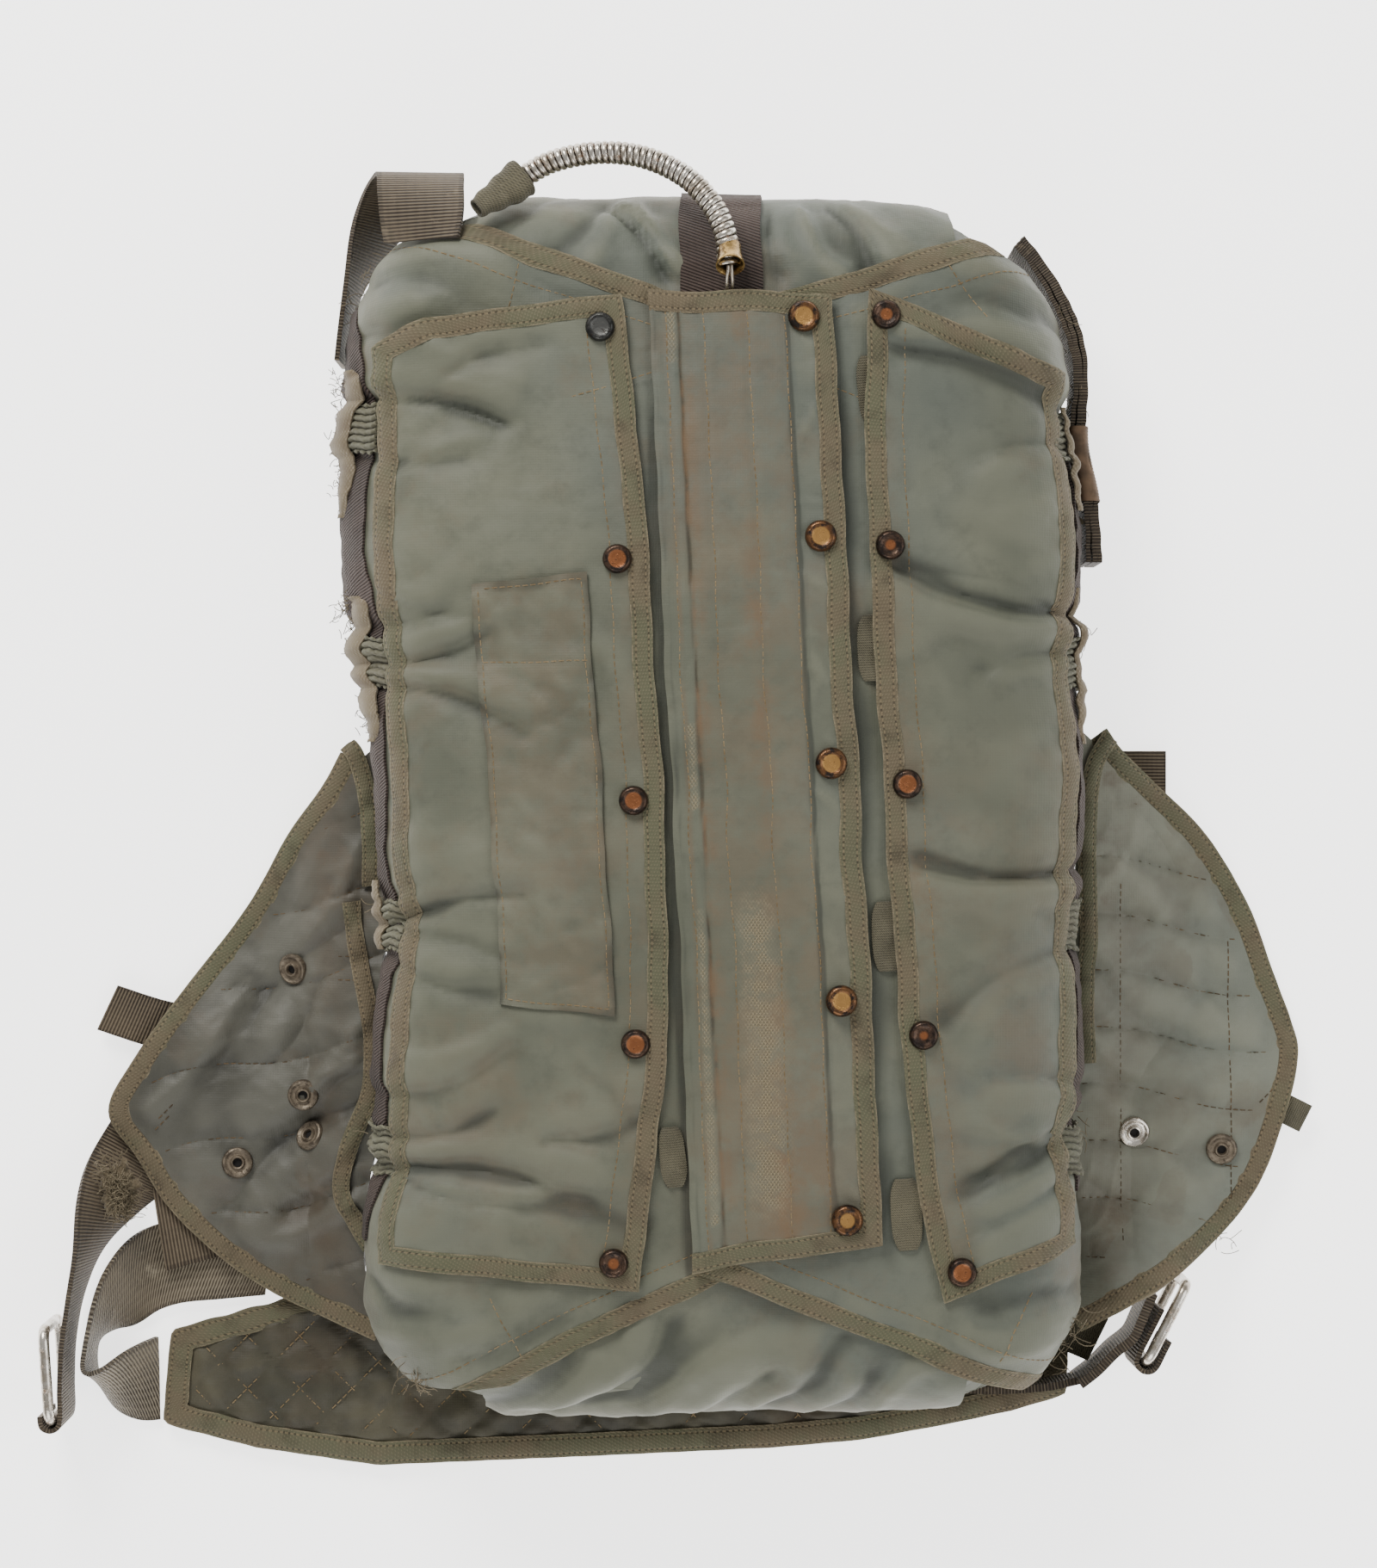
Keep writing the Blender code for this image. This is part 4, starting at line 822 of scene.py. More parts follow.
panels = {
    "left": {
        "outline": ((-168, 228), (-168, -224), (-40, -236), (-27, -120), (-28, -10), (-37, 140), (-49, 252), (-143, 240)),
        "sides": ((1, 2), (0, 7, 6), (1, 0), (2, 3, 4, 5, 6)), "lift": panelLift, "snapEdges": (2, 3, 4, 5),
    },
    "right": {
        "outline": ((72, 257), (69, 186), (72, 127), (78, 19), (86, -99), (97, -191), (109, -241), (172, -214), (172, 222)),
        "sides": ((6, 7), (0, 8), (6, 5, 4, 3, 2, 1, 0), (7, 8)), "lift": panelLift, "snapEdges": (0, 1, 2, 3, 4, 5),
    },
}
panelMarks = {
    "left": {"stain": lambda s, t: 0.30 * bell(s + 0.040, 0.012) + 0.25 * bell(t + 0.20, 0.03) * ramp(s, -0.16, -0.06)},
    "right": {"stain": lambda s, t: 0.35 * bell(s - 0.090 - 0.1 * (0.02 - t), 0.010) + 0.2 * bell(t + 0.02, 0.05)},
}
for side, look in panels.items():
    cloth, outline = boundPiece(side + "Panel", "outer_panel_" + side, look, 0.0028, 0.0014, 0.0026, panelPuff, panelMarks[side])
    close = ringInset(outline, [19.0 if k in look["snapEdges"] else 12.0 for k in range(len(outline))])
    run = [close[i] for i in (*look["snapEdges"], look["snapEdges"][-1] + 1)]
    sew(side + "PanelStitches", [run], onPack(lambda s, t: panelLift(s, t) + 0.0008, panelPuff))
print("panels laid")


# Ripcord cover

def coverLift(s, t):
    return lifts["cover"] - 0.0024 * ramp(np.abs(s - 0.020), 0.025, 0.055)


def coverShare(s, t):  # 0 at the cover's left edge, 1 at its right
    return (s - coverWest(t)) / (coverEast(t) - coverWest(t))


coverRows = (0.084, 0.29, 0.53, 0.735)


def coverRelief(s, t):
    share = coverShare(s, t)
    channel = sum(bell(share - row, 0.016) for row in coverRows) + 2.0 * bell(share - 0.16, 0.012) - 1.2 * bell(share - 0.03, 0.015)
    satin = ramp(share, 0.755, 0.765) * (1 - ramp(share, 0.88, 0.91))
    slant = ridges(s, t, 0.024, 0.6) * 1.5 - 0.6
    cross = 0.0006 * ridges(s, t, 0.11, math.pi / 2) * bell(share - 0.5, 0.3)
    return -0.0006 * channel + 0.0012 * satin * (slant - 0.15) + 0.0004 * crumple(s, t, 0.05, 7.0) + cross


coverShape = {
    "outline": ((-36, 254), (-13, -225), (79, -211), (53, 252)), "bound": (1, 4),
    "sides": ((1, 2), (0, 3), (1, 0), (2, 3)), "lift": coverLift,
}


def coverStain(s, t):
    share = coverShare(s, t)
    streak = 0.55 * bell(share - 0.50, 0.06) * (0.35 + 0.65 * np.sin(t * 14 + 0.6) ** 2) + 0.35 * bell(share - 0.20, 0.03)
    seam = 1.8 * bell(share - 0.165, 0.011) * (0.75 + 0.25 * np.sin(t * 43 + np.sin(t * 90)))
    middle = 0.30 * ramp(share, 0.17, 0.20) * (1 - ramp(share, 0.72, 0.74)) + 0.45 * ramp(share, 0.90, 0.92)
    rest = 0.5 * bell(share - 0.09, 0.012) + 0.3 * ramp(share, 0.2, 0.5) * ramp(-t, 0.0, 0.2) + 0.3 * bell(share - 0.735, 0.01)
    return np.clip(streak + seam + rest + middle, 0, 1)


def coverWorn(s, t):
    share = coverShare(s, t)
    patchAt = bell(share - 0.42, 0.12) ** 2 * ramp(-t, 0.03, 0.06) * (1 - ramp(-t, 0.18, 0.205))
    frayed = 0.9 * bell(share - 0.120, 0.016) * (np.sin(t * 37 + 2 * np.sin(t * 19)) > 0.1)
    return np.clip(patchAt + frayed, 0, 1)


boundPiece("ripcordCover", "ripcord_cover", coverShape, 0.0018, 0.0014, 0.0026, coverRelief,
           {"stain": coverStain, "worn": coverWorn,
            # painted shade along the cover's fold lines, the seam and the satin strip's edge, and painted light over
            # the satin strip
            "paintedShading": lambda s, t: -0.9 * bell(coverShare(s, t) - 0.752, 0.012) - 0.5 * bell(coverShare(s, t) - 0.16, 0.010)
            + 0.28 * ramp(coverShare(s, t), 0.765, 0.785) * (1 - ramp(coverShare(s, t), 0.87, 0.90)) - 0.5 * bell(coverShare(s, t) - 0.03, 0.012)})
coverLines = []
for share in coverRows:
    line = []
    for t in np.linspace(246, -214, 24):
        west, east = -36 + (254 - t) * 23 / 479, 53 + (252 - t) * 26 / 463
        line.append((west + (east - west) * share, t))
    coverLines.append(line)
sew("coverStitches", coverLines, onPack(lambda s, t: coverLift(s, t) + 0.0008, coverRelief))


# Label patch, left bare

labelShape = {"outline": ((-124, 110), (-114, -94), (-54, -99), (-66, 116)), "lift": 0.0020}


def labelLift(s, t):
    return panelLift(s, t) + labelShape["lift"]


def labelWrinkle(s, t):
    return panelPuff(s, t) + 0.0007 * crumple(s, t, 0.035, 6.0) + 0.0016 * ridges(s, t, 0.034, 1.1) + 0.0006 * bell(t - 0.070, 0.0015)


def labelEdgeShade(s, t):  # painted shade along the turned-in edges
    share = (t / mm + 97) / 210
    west, east = (-114 - 10 * share) * mm, (-54 - 12 * share) * mm
    near = np.minimum(np.minimum(s - west, east - s), np.minimum(0.113 + (s + 0.066) * 0.1 - t, t + 0.0965))
    return -0.55 * bell(np.maximum(near, 0), 0.0022)


outline = labelShape["outline"]
label = layCloth("labelPatch", ((outline[1], outline[2]), (outline[0], outline[3]), (outline[1], outline[0]), (outline[2], outline[3])),
                 labelLift, 0.0024, 0.0010, "cloth", ("label_patch",), labelWrinkle,
                 {"stain": lambda s, t: np.full_like(s, 0.30), "paintedShading": labelEdgeShade})
declareSheet(label, outline)
hem = ringInset(outline, [3.0] * 4)
sew("labelStitches", [[*hem, hem[0]], [(-120, 72), (-65, 73)]], onPack(lambda s, t: labelLift(s, t) + 0.0006, labelWrinkle))
print("cover and label laid")


# Elastic bands

bandShape = {"width": 0.024, "thickness": 0.0012, "cords": 7, "wave": 0.0050}


def bandLift(reach):
    overFlap = lifts["flap"] + (0.0015 + 0.0022) / 2 + 0.0016
    overWeb = 0.0025 + (0.0020 + 0.0022) / 2 + 0.0008
    under = 0.0019
    lift = overFlap + (overWeb - overFlap) * ramp(reach, 0.2130, 0.2260)
    return lift + (under - overWeb) * ramp(reach, 0.2460, 0.2559)


for number, row in enumerate(pack["bandRows"], 1):
    side = np.arange(0.1690, 0.2559, 0.0011)
    stations = np.concatenate([-side, [-0.2559], [0.2559], side[::-1]])
    made, columns, lines = gridObject(f"elasticBand{number}", 44, len(stations) - 1)
    s = stations[lines]
    share = columns / 44
    wave = np.sin(2 * math.pi * np.abs(s) / bandShape["wave"])
    t = row + (share - 0.5) * bandShape["width"] + 0.0006 * wave + 0.0008 * np.sin(np.abs(s) * 310 + number)
    cord = np.cos(2 * math.pi * (share * bandShape["cords"] + 0.24 * wave))
    own = 0.0009 * np.sign(cord) * np.abs(cord) ** 0.7 + 0.0003 * np.sin(np.abs(s) * 260 + 3 * share + number)
    fade = 1 - ramp(np.abs(s), 0.2440, 0.2500)
    points, normal, relief = packPoint(s, t, bandLift(np.abs(s)) + own * fade)
    setPoints(made, points)
    setFlat(made, t, np.abs(s))
    # painted highlight on the cords and painted shade between them
    paint(made, "paintedShading", 0.38 + 0.42 * cord * fade)
    paint(made, "stain", 0.3 + 0.0 * s)
    paint(made, "worn", np.zeros_like(s))
    applyModifier(made, "SOLIDIFY", thickness=bandShape["thickness"], offset=0.0)
    smoothed(made, 60)
    dress(made, "band", f"elastic_band_{number}")

sideWeb = {"edges": (213.5, 237.0), "start": 214, "step": 6, "count": 75}
spans = [sideWeb["start"] - sideWeb["step"] * k for k in range(sideWeb["count"])]
for side, sign, nodes in (("left", -1, ("side_web_left",)), ("right", 1, ())):
    top, low = sideWeb["edges"]
    layTape(side + "WallWebbing", [(sign * top, t) for t in spans], [(sign * low, t) for t in spans], 0.0025, 0.0020,
            nodes, finish="wall", bulge=0.0, extra=lambda s, t: 0.0004 * crumple(s, t, 0.03, 8.0))

shoulder = {
    "left": (-1, 209, ((268, 190), (250, 184), (230, 180), (206, 174), (165, 175), (130, 177), (100, 172), (60, 172), (30, 175),
                       (0, 178), (-60, 175), (-120, 178), (-168, 174), (-214, 186))),
    "right": (1, 211, ((196, 186), (170, 180), (130, 181), (100, 176), (60, 175), (10, 180), (-40, 176), (-90, 180), (-150, 176), (-190, 184))),
}
for side, (sign, outer, line) in shoulder.items():
    line = np.array(curved([(a, b) for a, b in line], 6))
    layTape(side + "ShoulderWebbing", [(sign * outer, t) for t, _ in line], [(sign * near, t) for t, near in line],
            lifts["flap"] + 0.0017, 0.0012, (), finish="wall", bulge=0.0, extra=flapWrinkle)

scraps = {  # frayed canvas left on the bands' outer ends, as rows of along, inner reach and width
    "canvasScrap1": (-1, ((219, 184, 6), (213, 178, 13), (206, 178, 15), (198, 184, 14), (190, 188, 14), (180, 189, 14), (170, 186, 12),
                          (160, 188, 9), (151, 192, 6), (147, 196, 3))),
    "canvasScrap2": (-1, ((107, 184, 6), (103, 178, 12), (96, 179, 13), (86, 184, 14), (78, 188, 14), (68, 186, 14), (58, 180, 14),
                          (48, 178, 12), (40, 180, 9), (35, 186, 4))),
    "canvasScrap3": (-1, ((-34, 190, 4), (-44, 188, 7), (-56, 190, 8), (-68, 190, 5))),
    "canvasScrap4": (1, ((206, 182, 2), (192, 182, 3), (180, 184, 4), (166, 182, 4), (152, 186, 2))),
    "canvasScrap5": (1, ((112, 182, 2), (98, 182, 4), (84, 184, 5), (66, 183, 5), (48, 182, 5), (34, 186, 2))),
}
for number, (name, (sign, rows)) in enumerate(scraps.items()):
    rows = np.array(curved(rows, 10))
    made, columns, lines = gridObject(name, 14, len(rows) - 1)
    share = columns / 14
    t = rows[lines, 0] * mm
    ragged = 0.9 * np.sin(lines * 0.31 + number) + 0.7 * np.sin(lines * 1.27 + 2 * number) * np.sin(lines * 0.17) + 0.4 * np.sin(lines * 2.9)
    s = sign * (rows[lines, 1] - 2.0 * (1 - share)) * mm
    out = (0.72 * rows[lines, 2] * share + 0.55 * ragged * share) * mm
    own = 0.0012 * crumple(s, t, 0.022, number + 1.0) + 0.0009 * ridges(s, t, 0.018, number * 1.3) + 0.0010 * np.sin(math.pi * share)
    onBand = np.minimum(1, 1.6 * sum(bell(t - row, 0.020) for row in pack["bandRows"]))
    points = packPoint(s, t, lifts["flap"] + 0.0018 + 0.0030 * onBand + own)[0]
    points[:, 0] += sign * 0.8 * out
    points[:, 2] -= out * (0.9 + 0.7 * share)
    setPoints(made, points)
    setFlat(made, s + sign * out, t)
    # painted shade in the crumples and painted highlight on their crests
    paint(made, "paintedShading", 0.45 + own / 0.004)
    paint(made, "stain", 0.3 * (crumple(s, t, 0.03, 5.0) > 0.2))
    paint(made, "worn", 0.5 * np.abs(share - 0.5) * 2)
    applyModifier(made, "SOLIDIFY", thickness=0.0012, offset=0.0)
    smoothed(made, 60)
    dress(made, "scrap")
print("bands laid")


# Quilted wings

wings = {
    "left": {
        "edge": ((-193, 30), (-203, 12), (-221, -12), (-242, -48), (-275, -92), (-300, -127), (-313, -154), (-298, -178),
                 (-282, -203), (-255, -229), (-224, -249), (-193, -262), (-176, -270)),
        "finish": "quilt", "sign": -1, "rootTop": 0.032, "liftFrom": 0.060, "slope": 0.22, "row": 0.038, "seed": 2.0,
        "tacks": ((-196, -74, -178, -74), (-196, -86, -178, -86), (-288, -158, -280, -150), (-290, -164, -282, -156)),
    },
    "right": {
        "edge": ((197, 42), (206, 30), (223, 14), (250, -12), (272, -48), (285, -83), (294, -108), (297, -126), (290, -154),
                 (277, -189), (258, -214), (232, -234), (203, -251), (184, -263)),
        "finish": "quiltRight", "sign": 1, "rootTop": 0.044, "liftFrom": 0.095, "slope": -0.13, "row": 0.029, "seed": 5.0,
        "tacks": ((205, -36, 205, -226), (262, -66, 262, -204), (276, -150, 284, -142)),
    },
}
wingShape = {"tape": 0.0048, "thickness": 0.0042, "rootLift": 0.020, "lowLift": 0.0111, "puff": 0.0022, "clearance": 0.0085,
             "rises": ((221, -252, 36, 41.6), (219, 6, 34, 2.5))}


def wingHeight(x, y, look):
    away = np.maximum(0, np.abs(x) - pack["halfWidth"] - wingShape["clearance"])
    low = wingShape["lowLift"] * ramp(-y, look["liftFrom"], look["liftFrom"] + 0.060)
    rise = np.maximum(wingShape["rootLift"] * bell(away, 0.036), low)
    for atX, atY, reach, height in wingShape["rises"]:
        rise = rise + height * mm * bell(np.hypot(x - atX * mm, y - atY * mm), reach * mm)
    return wingShape["tape"] / 2 + rise


def quiltRelief(x, y, look):  # puffed rows with crumples pulled across them
    row = (y - look["slope"] * x) / look["row"] + 0.10 * np.sin(x * 60 + look["seed"])
    puff = np.abs(np.sin(math.pi * row)) ** 0.6
    near = bell((np.abs(x) - 0.185), 0.060)
    pucker = crumple(x, y, 0.016, look["seed"] + 2) * 0.0005 * bell(np.abs(np.sin(math.pi * row)), 0.5)
    slant = 0.0017 * ridges(x, y, 0.032, 1.9 if look["sign"] > 0 else 1.25, 3.6) * (0.35 + 0.65 * near)
    soft = 0.0012 * crumple(x, y, 0.055, look["seed"])
    long = creased(x, y, wingFolds[look["sign"]])
    depth = 1.0 if look["sign"] < 0 else 0.7
    return 1.3 * wingShape["puff"] * (puff - 0.5) + (slant + soft + 1.2 * long) * depth + pucker


def rimSoft(x, y, look):  # 0 at the binding, 1 over the wing
    rim = look["rim"]
    away = np.min(np.hypot(np.ravel(x)[:, None] - rim[None, :, 0], np.ravel(y)[:, None] - rim[None, :, 1]), axis=1)
    return ramp(away.reshape(np.shape(x)), 0.0, 0.012)


wingFolds = {
    -1: ((-186, -20, -215, -70, 6, 2.0), (-190, -60, -240, -110, 6, -2.0), (-184, -110, -236, -160, 7, 2.2), (-186, -150, -250, -200, 6, -2.4),
         (-190, -200, -240, -222, 6, 2.0), (-200, 0, -230, -50, 5, -1.6), (-250, -100, -290, -150, 6, 1.6), (-185, -230, -215, -246, 5, -1.8),
         (-205, -90, -228, -128, 4, -1.6), (-188, -128, -214, -150, 4, 1.5), (-192, -172, -226, -200, 5, 1.8)),
    1: ((188, -20, 232, -60, 6, 1.8), (190, -80, 240, -120, 6, -1.6), (186, -140, 236, -190, 7, 1.8), (190, -190, 250, -222, 6, -1.8),
        (200, 10, 236, -30, 5, -1.6), (246, -90, 286, -130, 6, 1.2), (188, -226, 220, -240, 5, 1.8), (186, -110, 214, -136, 4, 1.5)),
}
for side, look in wings.items():
    sign = look["sign"]
    outer = np.array(curved(look["edge"], 8)) * mm
    way = np.gradient(outer, axis=0)
    way = way / np.hypot(way[:, 0], way[:, 1])[:, None]
    inward = np.stack([-way[:, 1], way[:, 0]], -1) * (-sign)
    inner, rim = outer + inward * 0.010, outer + inward * 0.0095
    count = len(outer)
    tops = look["rootTop"] - 0.300 * np.linspace(0, 1, count)
    root = packPoint(np.full(count, sign * (pack["coreX"] + pack["wallReach"] - 0.006)), tops, wingShape["clearance"], 0.0)[0][:, :2]
    look["rim"] = rim
    rows, lines = 110, count * 2
    made, columns, steps = gridObject(side + "Wing", rows, lines)
    at = steps / lines * (count - 1)
    spot = lambda line: np.stack([np.interp(at, np.arange(count), line[:, k]) for k in (0, 1)], -1)
    share = (columns / rows)[:, None]
    place = spot(rim) * (1 - share) + spot(root) * share
    x, y = place[:, 0], place[:, 1]
    width = np.hypot(*(spot(rim) - spot(root)).T)
    own = quiltRelief(x, y, look) * rimSoft(x, y, look) * ramp(width, 0.010, 0.060)
    setPoints(made, np.stack([x, y, wingHeight(x, y, look) + own], -1))
    setFlat(made, x, y)
    # painted highlight on the quilted puffs and painted shade in the hollows between them
    paint(made, "paintedShading", 0.5 + own / 0.006)
    paint(made, "stain", 0.35 * bell(np.abs(x) - 0.200, 0.012) + 0.25 * (crumple(x, y, 0.08, 3.0) > 0.5))
    paint(made, "worn", np.zeros_like(x))
    applyModifier(made, "SOLIDIFY", thickness=0.0036, offset=0.0)
    rested(made)
    smoothed(made, 60)
    dress(made, look["finish"], "wing_" + side)
    # binding round the outer edge
    steps, lengths = chain(outer)
    made, columns, lines = gridObject(side + "WingBinding", 6, (count - 1) * 2)
    at = lines / 2
    share = (columns / 6)[:, None]
    place = spot(outer) * (1 - share) + spot(inner) * share
    x, y = place[:, 0], place[:, 1]
    round_ = np.sin(math.pi * columns / 6)
    distance = np.interp(at, np.arange(count), lengths)
    lift = 0.0008 * (round_ - 0.5) + 0.0004 * np.sin(distance * 260 + 2 * np.sin(distance * 70))
    setPoints(made, np.stack([x, y, wingHeight(x, y, look) + lift], -1))
    setFlat(made, columns / 6, distance)
    applyModifier(made, "SOLIDIFY", thickness=0.0038, offset=0.0)
    rested(made)
    smoothed(made, 60)
    dress(made, "tape", f"wing_{side}_binding")

    def onWing(x, y, rise, look=look):
        return np.stack([x, y, wingHeight(x, y, look) + quiltRelief(x, y, look) * rimSoft(x, y, look) + 0.0020 + rise], -1)

    rowLines = []
    for step in range(-16, 6):
        line = []
        for x in np.linspace(0.176, 0.312, 70) * sign:
            y = look["row"] * (step - 0.10 * math.sin(x * 60 + look["seed"])) + look["slope"] * x
            across = np.abs(rim[:, 1] - y)
            near = int(np.argmin(np.where(np.abs(rim[:, 0] - x) < 0.5, np.hypot(rim[:, 0] - x, rim[:, 1] - y), 9)))
            inside = np.dot(np.array([x, y]) - rim[near], inward[near]) > 0.002
            outside = abs(x) < abs(np.interp(-y, -root[:, 1], root[:, 0])) + 0.001
            if inside and not outside and rim[:, 1].min() < y < rim[:, 1].max():
                line.append((x / mm, y / mm))
        if len(line) > 3:
            rowLines.append(line)
    rowLines += [((a, b), (c, d)) for a, b, c, d in look["tacks"]]
    sew(side + "WingStitches", rowLines, onWing, "darkThread", dash=0.0026, gap=0.0012, wander=False)

rootTapes = {  # worn tape along the wings' inner edges
    "rootTapeLeft1": ("left", ((-190, 34), (-185, 27), (-180, 8), (-178, -14), (-178, -38))),
    "rootTapeLeft2": ("left", ((-188, -46), (-185, -70), (-178, -108), (-178, -141), (-189, -171), (-193, -193), (-186, -208), (-178, -222))),
    "rootTapeRight": ("right", ((199, 38), (191, 24), (188, 4), (187, -26), (188, -60), (186, -96), (187, -128))),
}
for name, (side, line) in rootTapes.items():
    line = np.array(curved(line, 10)) * mm
    look = wings[side]
    way = np.gradient(line, axis=0)
    way = way / np.hypot(way[:, 0], way[:, 1])[:, None]
    steps, lengths = chain(line)
    made, columns, lines = gridObject(name, 6, len(line) - 1)
    share = columns / 6
    over = (share - 0.5)[:, None] * 0.0085 * np.stack([-way[lines, 1], way[lines, 0]], -1)
    x, y = (line[lines] + over).T
    rise = 0.0030 + 0.0012 * np.sin(math.pi * share) + 0.0010 * np.sin(lengths[lines] * 130 + 2 * np.sin(lengths[lines] * 60))
    setPoints(made, np.stack([x, y, wingHeight(x, y, look) + quiltRelief(x, y, look) * rimSoft(x, y, look) + rise], -1))
    setFlat(made, share, lengths[lines])
    applyModifier(made, "SOLIDIFY", thickness=0.0018, offset=0.0)
    smoothed(made, 60)
    dress(made, "tape")
print("wings quilted")


# Turned metal pieces

def turnedPiece(name, profile, steps, place, normal, finish, nodes, dent=0.0, tone=1.0):
    deselect()
    bpy.ops.mesh.primitive_grid_add(x_subdivisions=len(profile) - 1, y_subdivisions=steps, size=1, location=(0, 0, 0))
    made = bpy.context.object
    made.name = made.data.name = name
    spots = np.empty(len(made.data.vertices) * 3)
    made.data.vertices.foreach_get("co", spots)
    spots = spots.reshape(-1, 3)
    columns = np.rint((spots[:, 0] + 0.5) * (len(profile) - 1)).astype(int)
    turn = (spots[:, 1] + 0.5) * 2 * math.pi
    line = np.array(profile)
    radius, height = line[columns, 0], line[columns, 1]
    height = height + dent * np.sin(turn * 3 + place[0] * 900) * (radius / max(line[:, 0]))
    axis = Vector(normal).normalized()
    lean = axis.to_track_quat("Z", "Y").to_matrix()
    local = np.stack([radius * np.cos(turn), radius * np.sin(turn), height], -1)
    setPoints(made, local @ np.array(lean).T + np.array(place))
    paint(made, "centre", tone * (1 - radius / max(line[:, 0])))
    applyModifier(made, "WELD", merge_threshold=0.00001)
    smoothed(made, 35)
    return dress(made, finish, *nodes)


capShape = {"radius": 0.0077, "height": 0.0037}
capProfile = [(0.0, 0.80), (0.18, 0.80), (0.36, 0.81), (0.50, 0.84), (0.60, 0.90), (0.68, 0.97), (0.75, 1.0), (0.83, 0.95),
              (0.91, 0.76), (0.97, 0.50), (1.0, 0.24), (0.97, 0.06), (0.90, 0.0), (0.0, 0.0)]
capRows = {
    "left": ((-59, 236), (-51, 123), (-44, 6), (-43, -112), (-53, -221)),
    "cover": ((40, 241), (48, 134), (53, 24), (58, -91), (61, -199)),
    "right": ((81, 243), (82, 130), (90, 14), (98, -108), (117, -226)),
}
capTones = {("left", 3): 0.9, ("left", 5): 0.62, ("right", 1): 0.66, ("right", 2): 0.60, ("right", 4): 0.55, ("cover", 5): 0.8}
for row, places in capRows.items():
    for number, (across, up) in enumerate(places, 1):
        s, t = np.array(across * mm), np.array(up * mm)
        if row == "cover":
            lift = coverLift(s, t) + max(0.0, float(coverRelief(s, t)))
        else:
            lift = panelLift(s, t) + max(0.0, float(panelPuff(s, t)))
        place, normal, _ = packPoint(s, t, lift + 0.0014)
        radius = capShape["radius"] * (1.0 if row == "cover" else 0.93)
        profile = [(r * radius, h * capShape["height"]) for r, h in capProfile]
        finish = "gold" if row == "cover" else "black" if (row, number) == ("left", 1) else "cap"
        tone = capTones.get((row, number), 1.0)
        turnedPiece(f"snapCap_{row}_{number}", profile, 40, place, normal, finish, (f"snap_cap_{row}_{number}",), 0.00012, tone)

socketShape = {"radius": 0.0080, "hole": 0.0022}
socketProfile = [(0.28, -0.02), (0.28, 0.20), (0.32, 0.30), (0.40, 0.33), (0.46, 0.26), (0.50, 0.14), (0.60, 0.12), (0.70, 0.16),
                 (0.82, 0.24), (0.92, 0.20), (1.0, 0.06), (1.0, -0.10)]
sockets = {"left": ((-219, -81), (-213, -145), (-210, -166), (-247, -180)), "right": ((212, -164), (257, -173))}
for side, places in sockets.items():
    look = wings[side]
    for number, (across, up) in enumerate(places, 1):
        ways = ((-6, 0), (6, 0), (0, -6), (0, 6))
        rimSpots = []
        for dx, dy in ways:
            x, y = np.array((across + dx) * mm), np.array((up + dy) * mm)
            rimSpots.append(np.array([x, y, wingHeight(x, y, look) + quiltRelief(x, y, look) * rimSoft(x, y, look)]))
        normal = np.cross(rimSpots[1] - rimSpots[0], rimSpots[3] - rimSpots[2])
        place = sum(rimSpots) / 4
        middle = np.array([across * mm, up * mm])
        place[:2] = middle
        place[2] += 0.0026
        profile = [(r * socketShape["radius"], h * socketShape["radius"]) for r, h in socketProfile]
        finish = "steel" if (side, number) == ("right", 1) else "socket"
        turnedPiece(f"snapSocket_{side}_{number}", profile, 36, place, normal, finish, (f"socket_{side}_{number}",))
        normal = normal / np.linalg.norm(normal)
        hole = [(0.0, 0.0), (socketShape["hole"] * 1.05, 0.0)]
        # a dark disc as painted shade inside the socket's hole
        turnedPiece(f"socketHole_{side}_{number}", hole, 24, place + normal * 0.0004, normal, "hole", ())
print("snaps set")


# Quilted pad under the pack

padShape = {
    "outline": ((-160, -235), (-281, -268), (-285, -314), (-238, -326), (-176, -335), (-69, -330.5), (28, -326), (73, -322),
                (117, -314), (150, -307), (177, -299), (178, -270), (150, -235)),
    "far": 250, "farEdges": (-128, 120), "height": 0.0082, "diamond": 0.0135, "puff": 0.0030,
}
outline = padShape["outline"]
hem = ringInset(outline, [9.0] * (len(outline) - 1) + [0.0])
west, east = padShape["farEdges"]
sides = [hem[2:11], [(west, padShape["far"]), (east, padShape["far"])], [hem[2], hem[1], (-160, -235), (west, padShape["far"])],
         [hem[10], hem[11], (150, -235), (east, padShape["far"])]]
net = patch(*[np.asarray(line, float) * mm for line in sides], 200, 120, 2.0)
made, columns, lines = gridObject("backPad", 200, 120)
x, y = net[lines, columns, 0], net[lines, columns, 1]
a, b = (x + y * 1.0) / padShape["diamond"] / 2, (x - y * 1.0) / padShape["diamond"] / 2
quilt = (np.abs(np.sin(math.pi * a)) * np.abs(np.sin(math.pi * b))) ** 0.55
hemSoft = ramp(np.minimum(columns, 200 - columns), 0, 4) * ramp(lines, 0, 14)
shown = 1 - ramp(y, -0.262, -0.235)
own = (padShape["puff"] * quilt + 0.0012 * ridges(x, y, 0.020, 0.8) + 0.0011 * crumple(x, y, 0.034, 3.0)) * hemSoft * shown
points = np.stack([x, y, padShape["height"] - 0.0014 + own], -1)
setPoints(made, points)
setFlat(made, x, y)
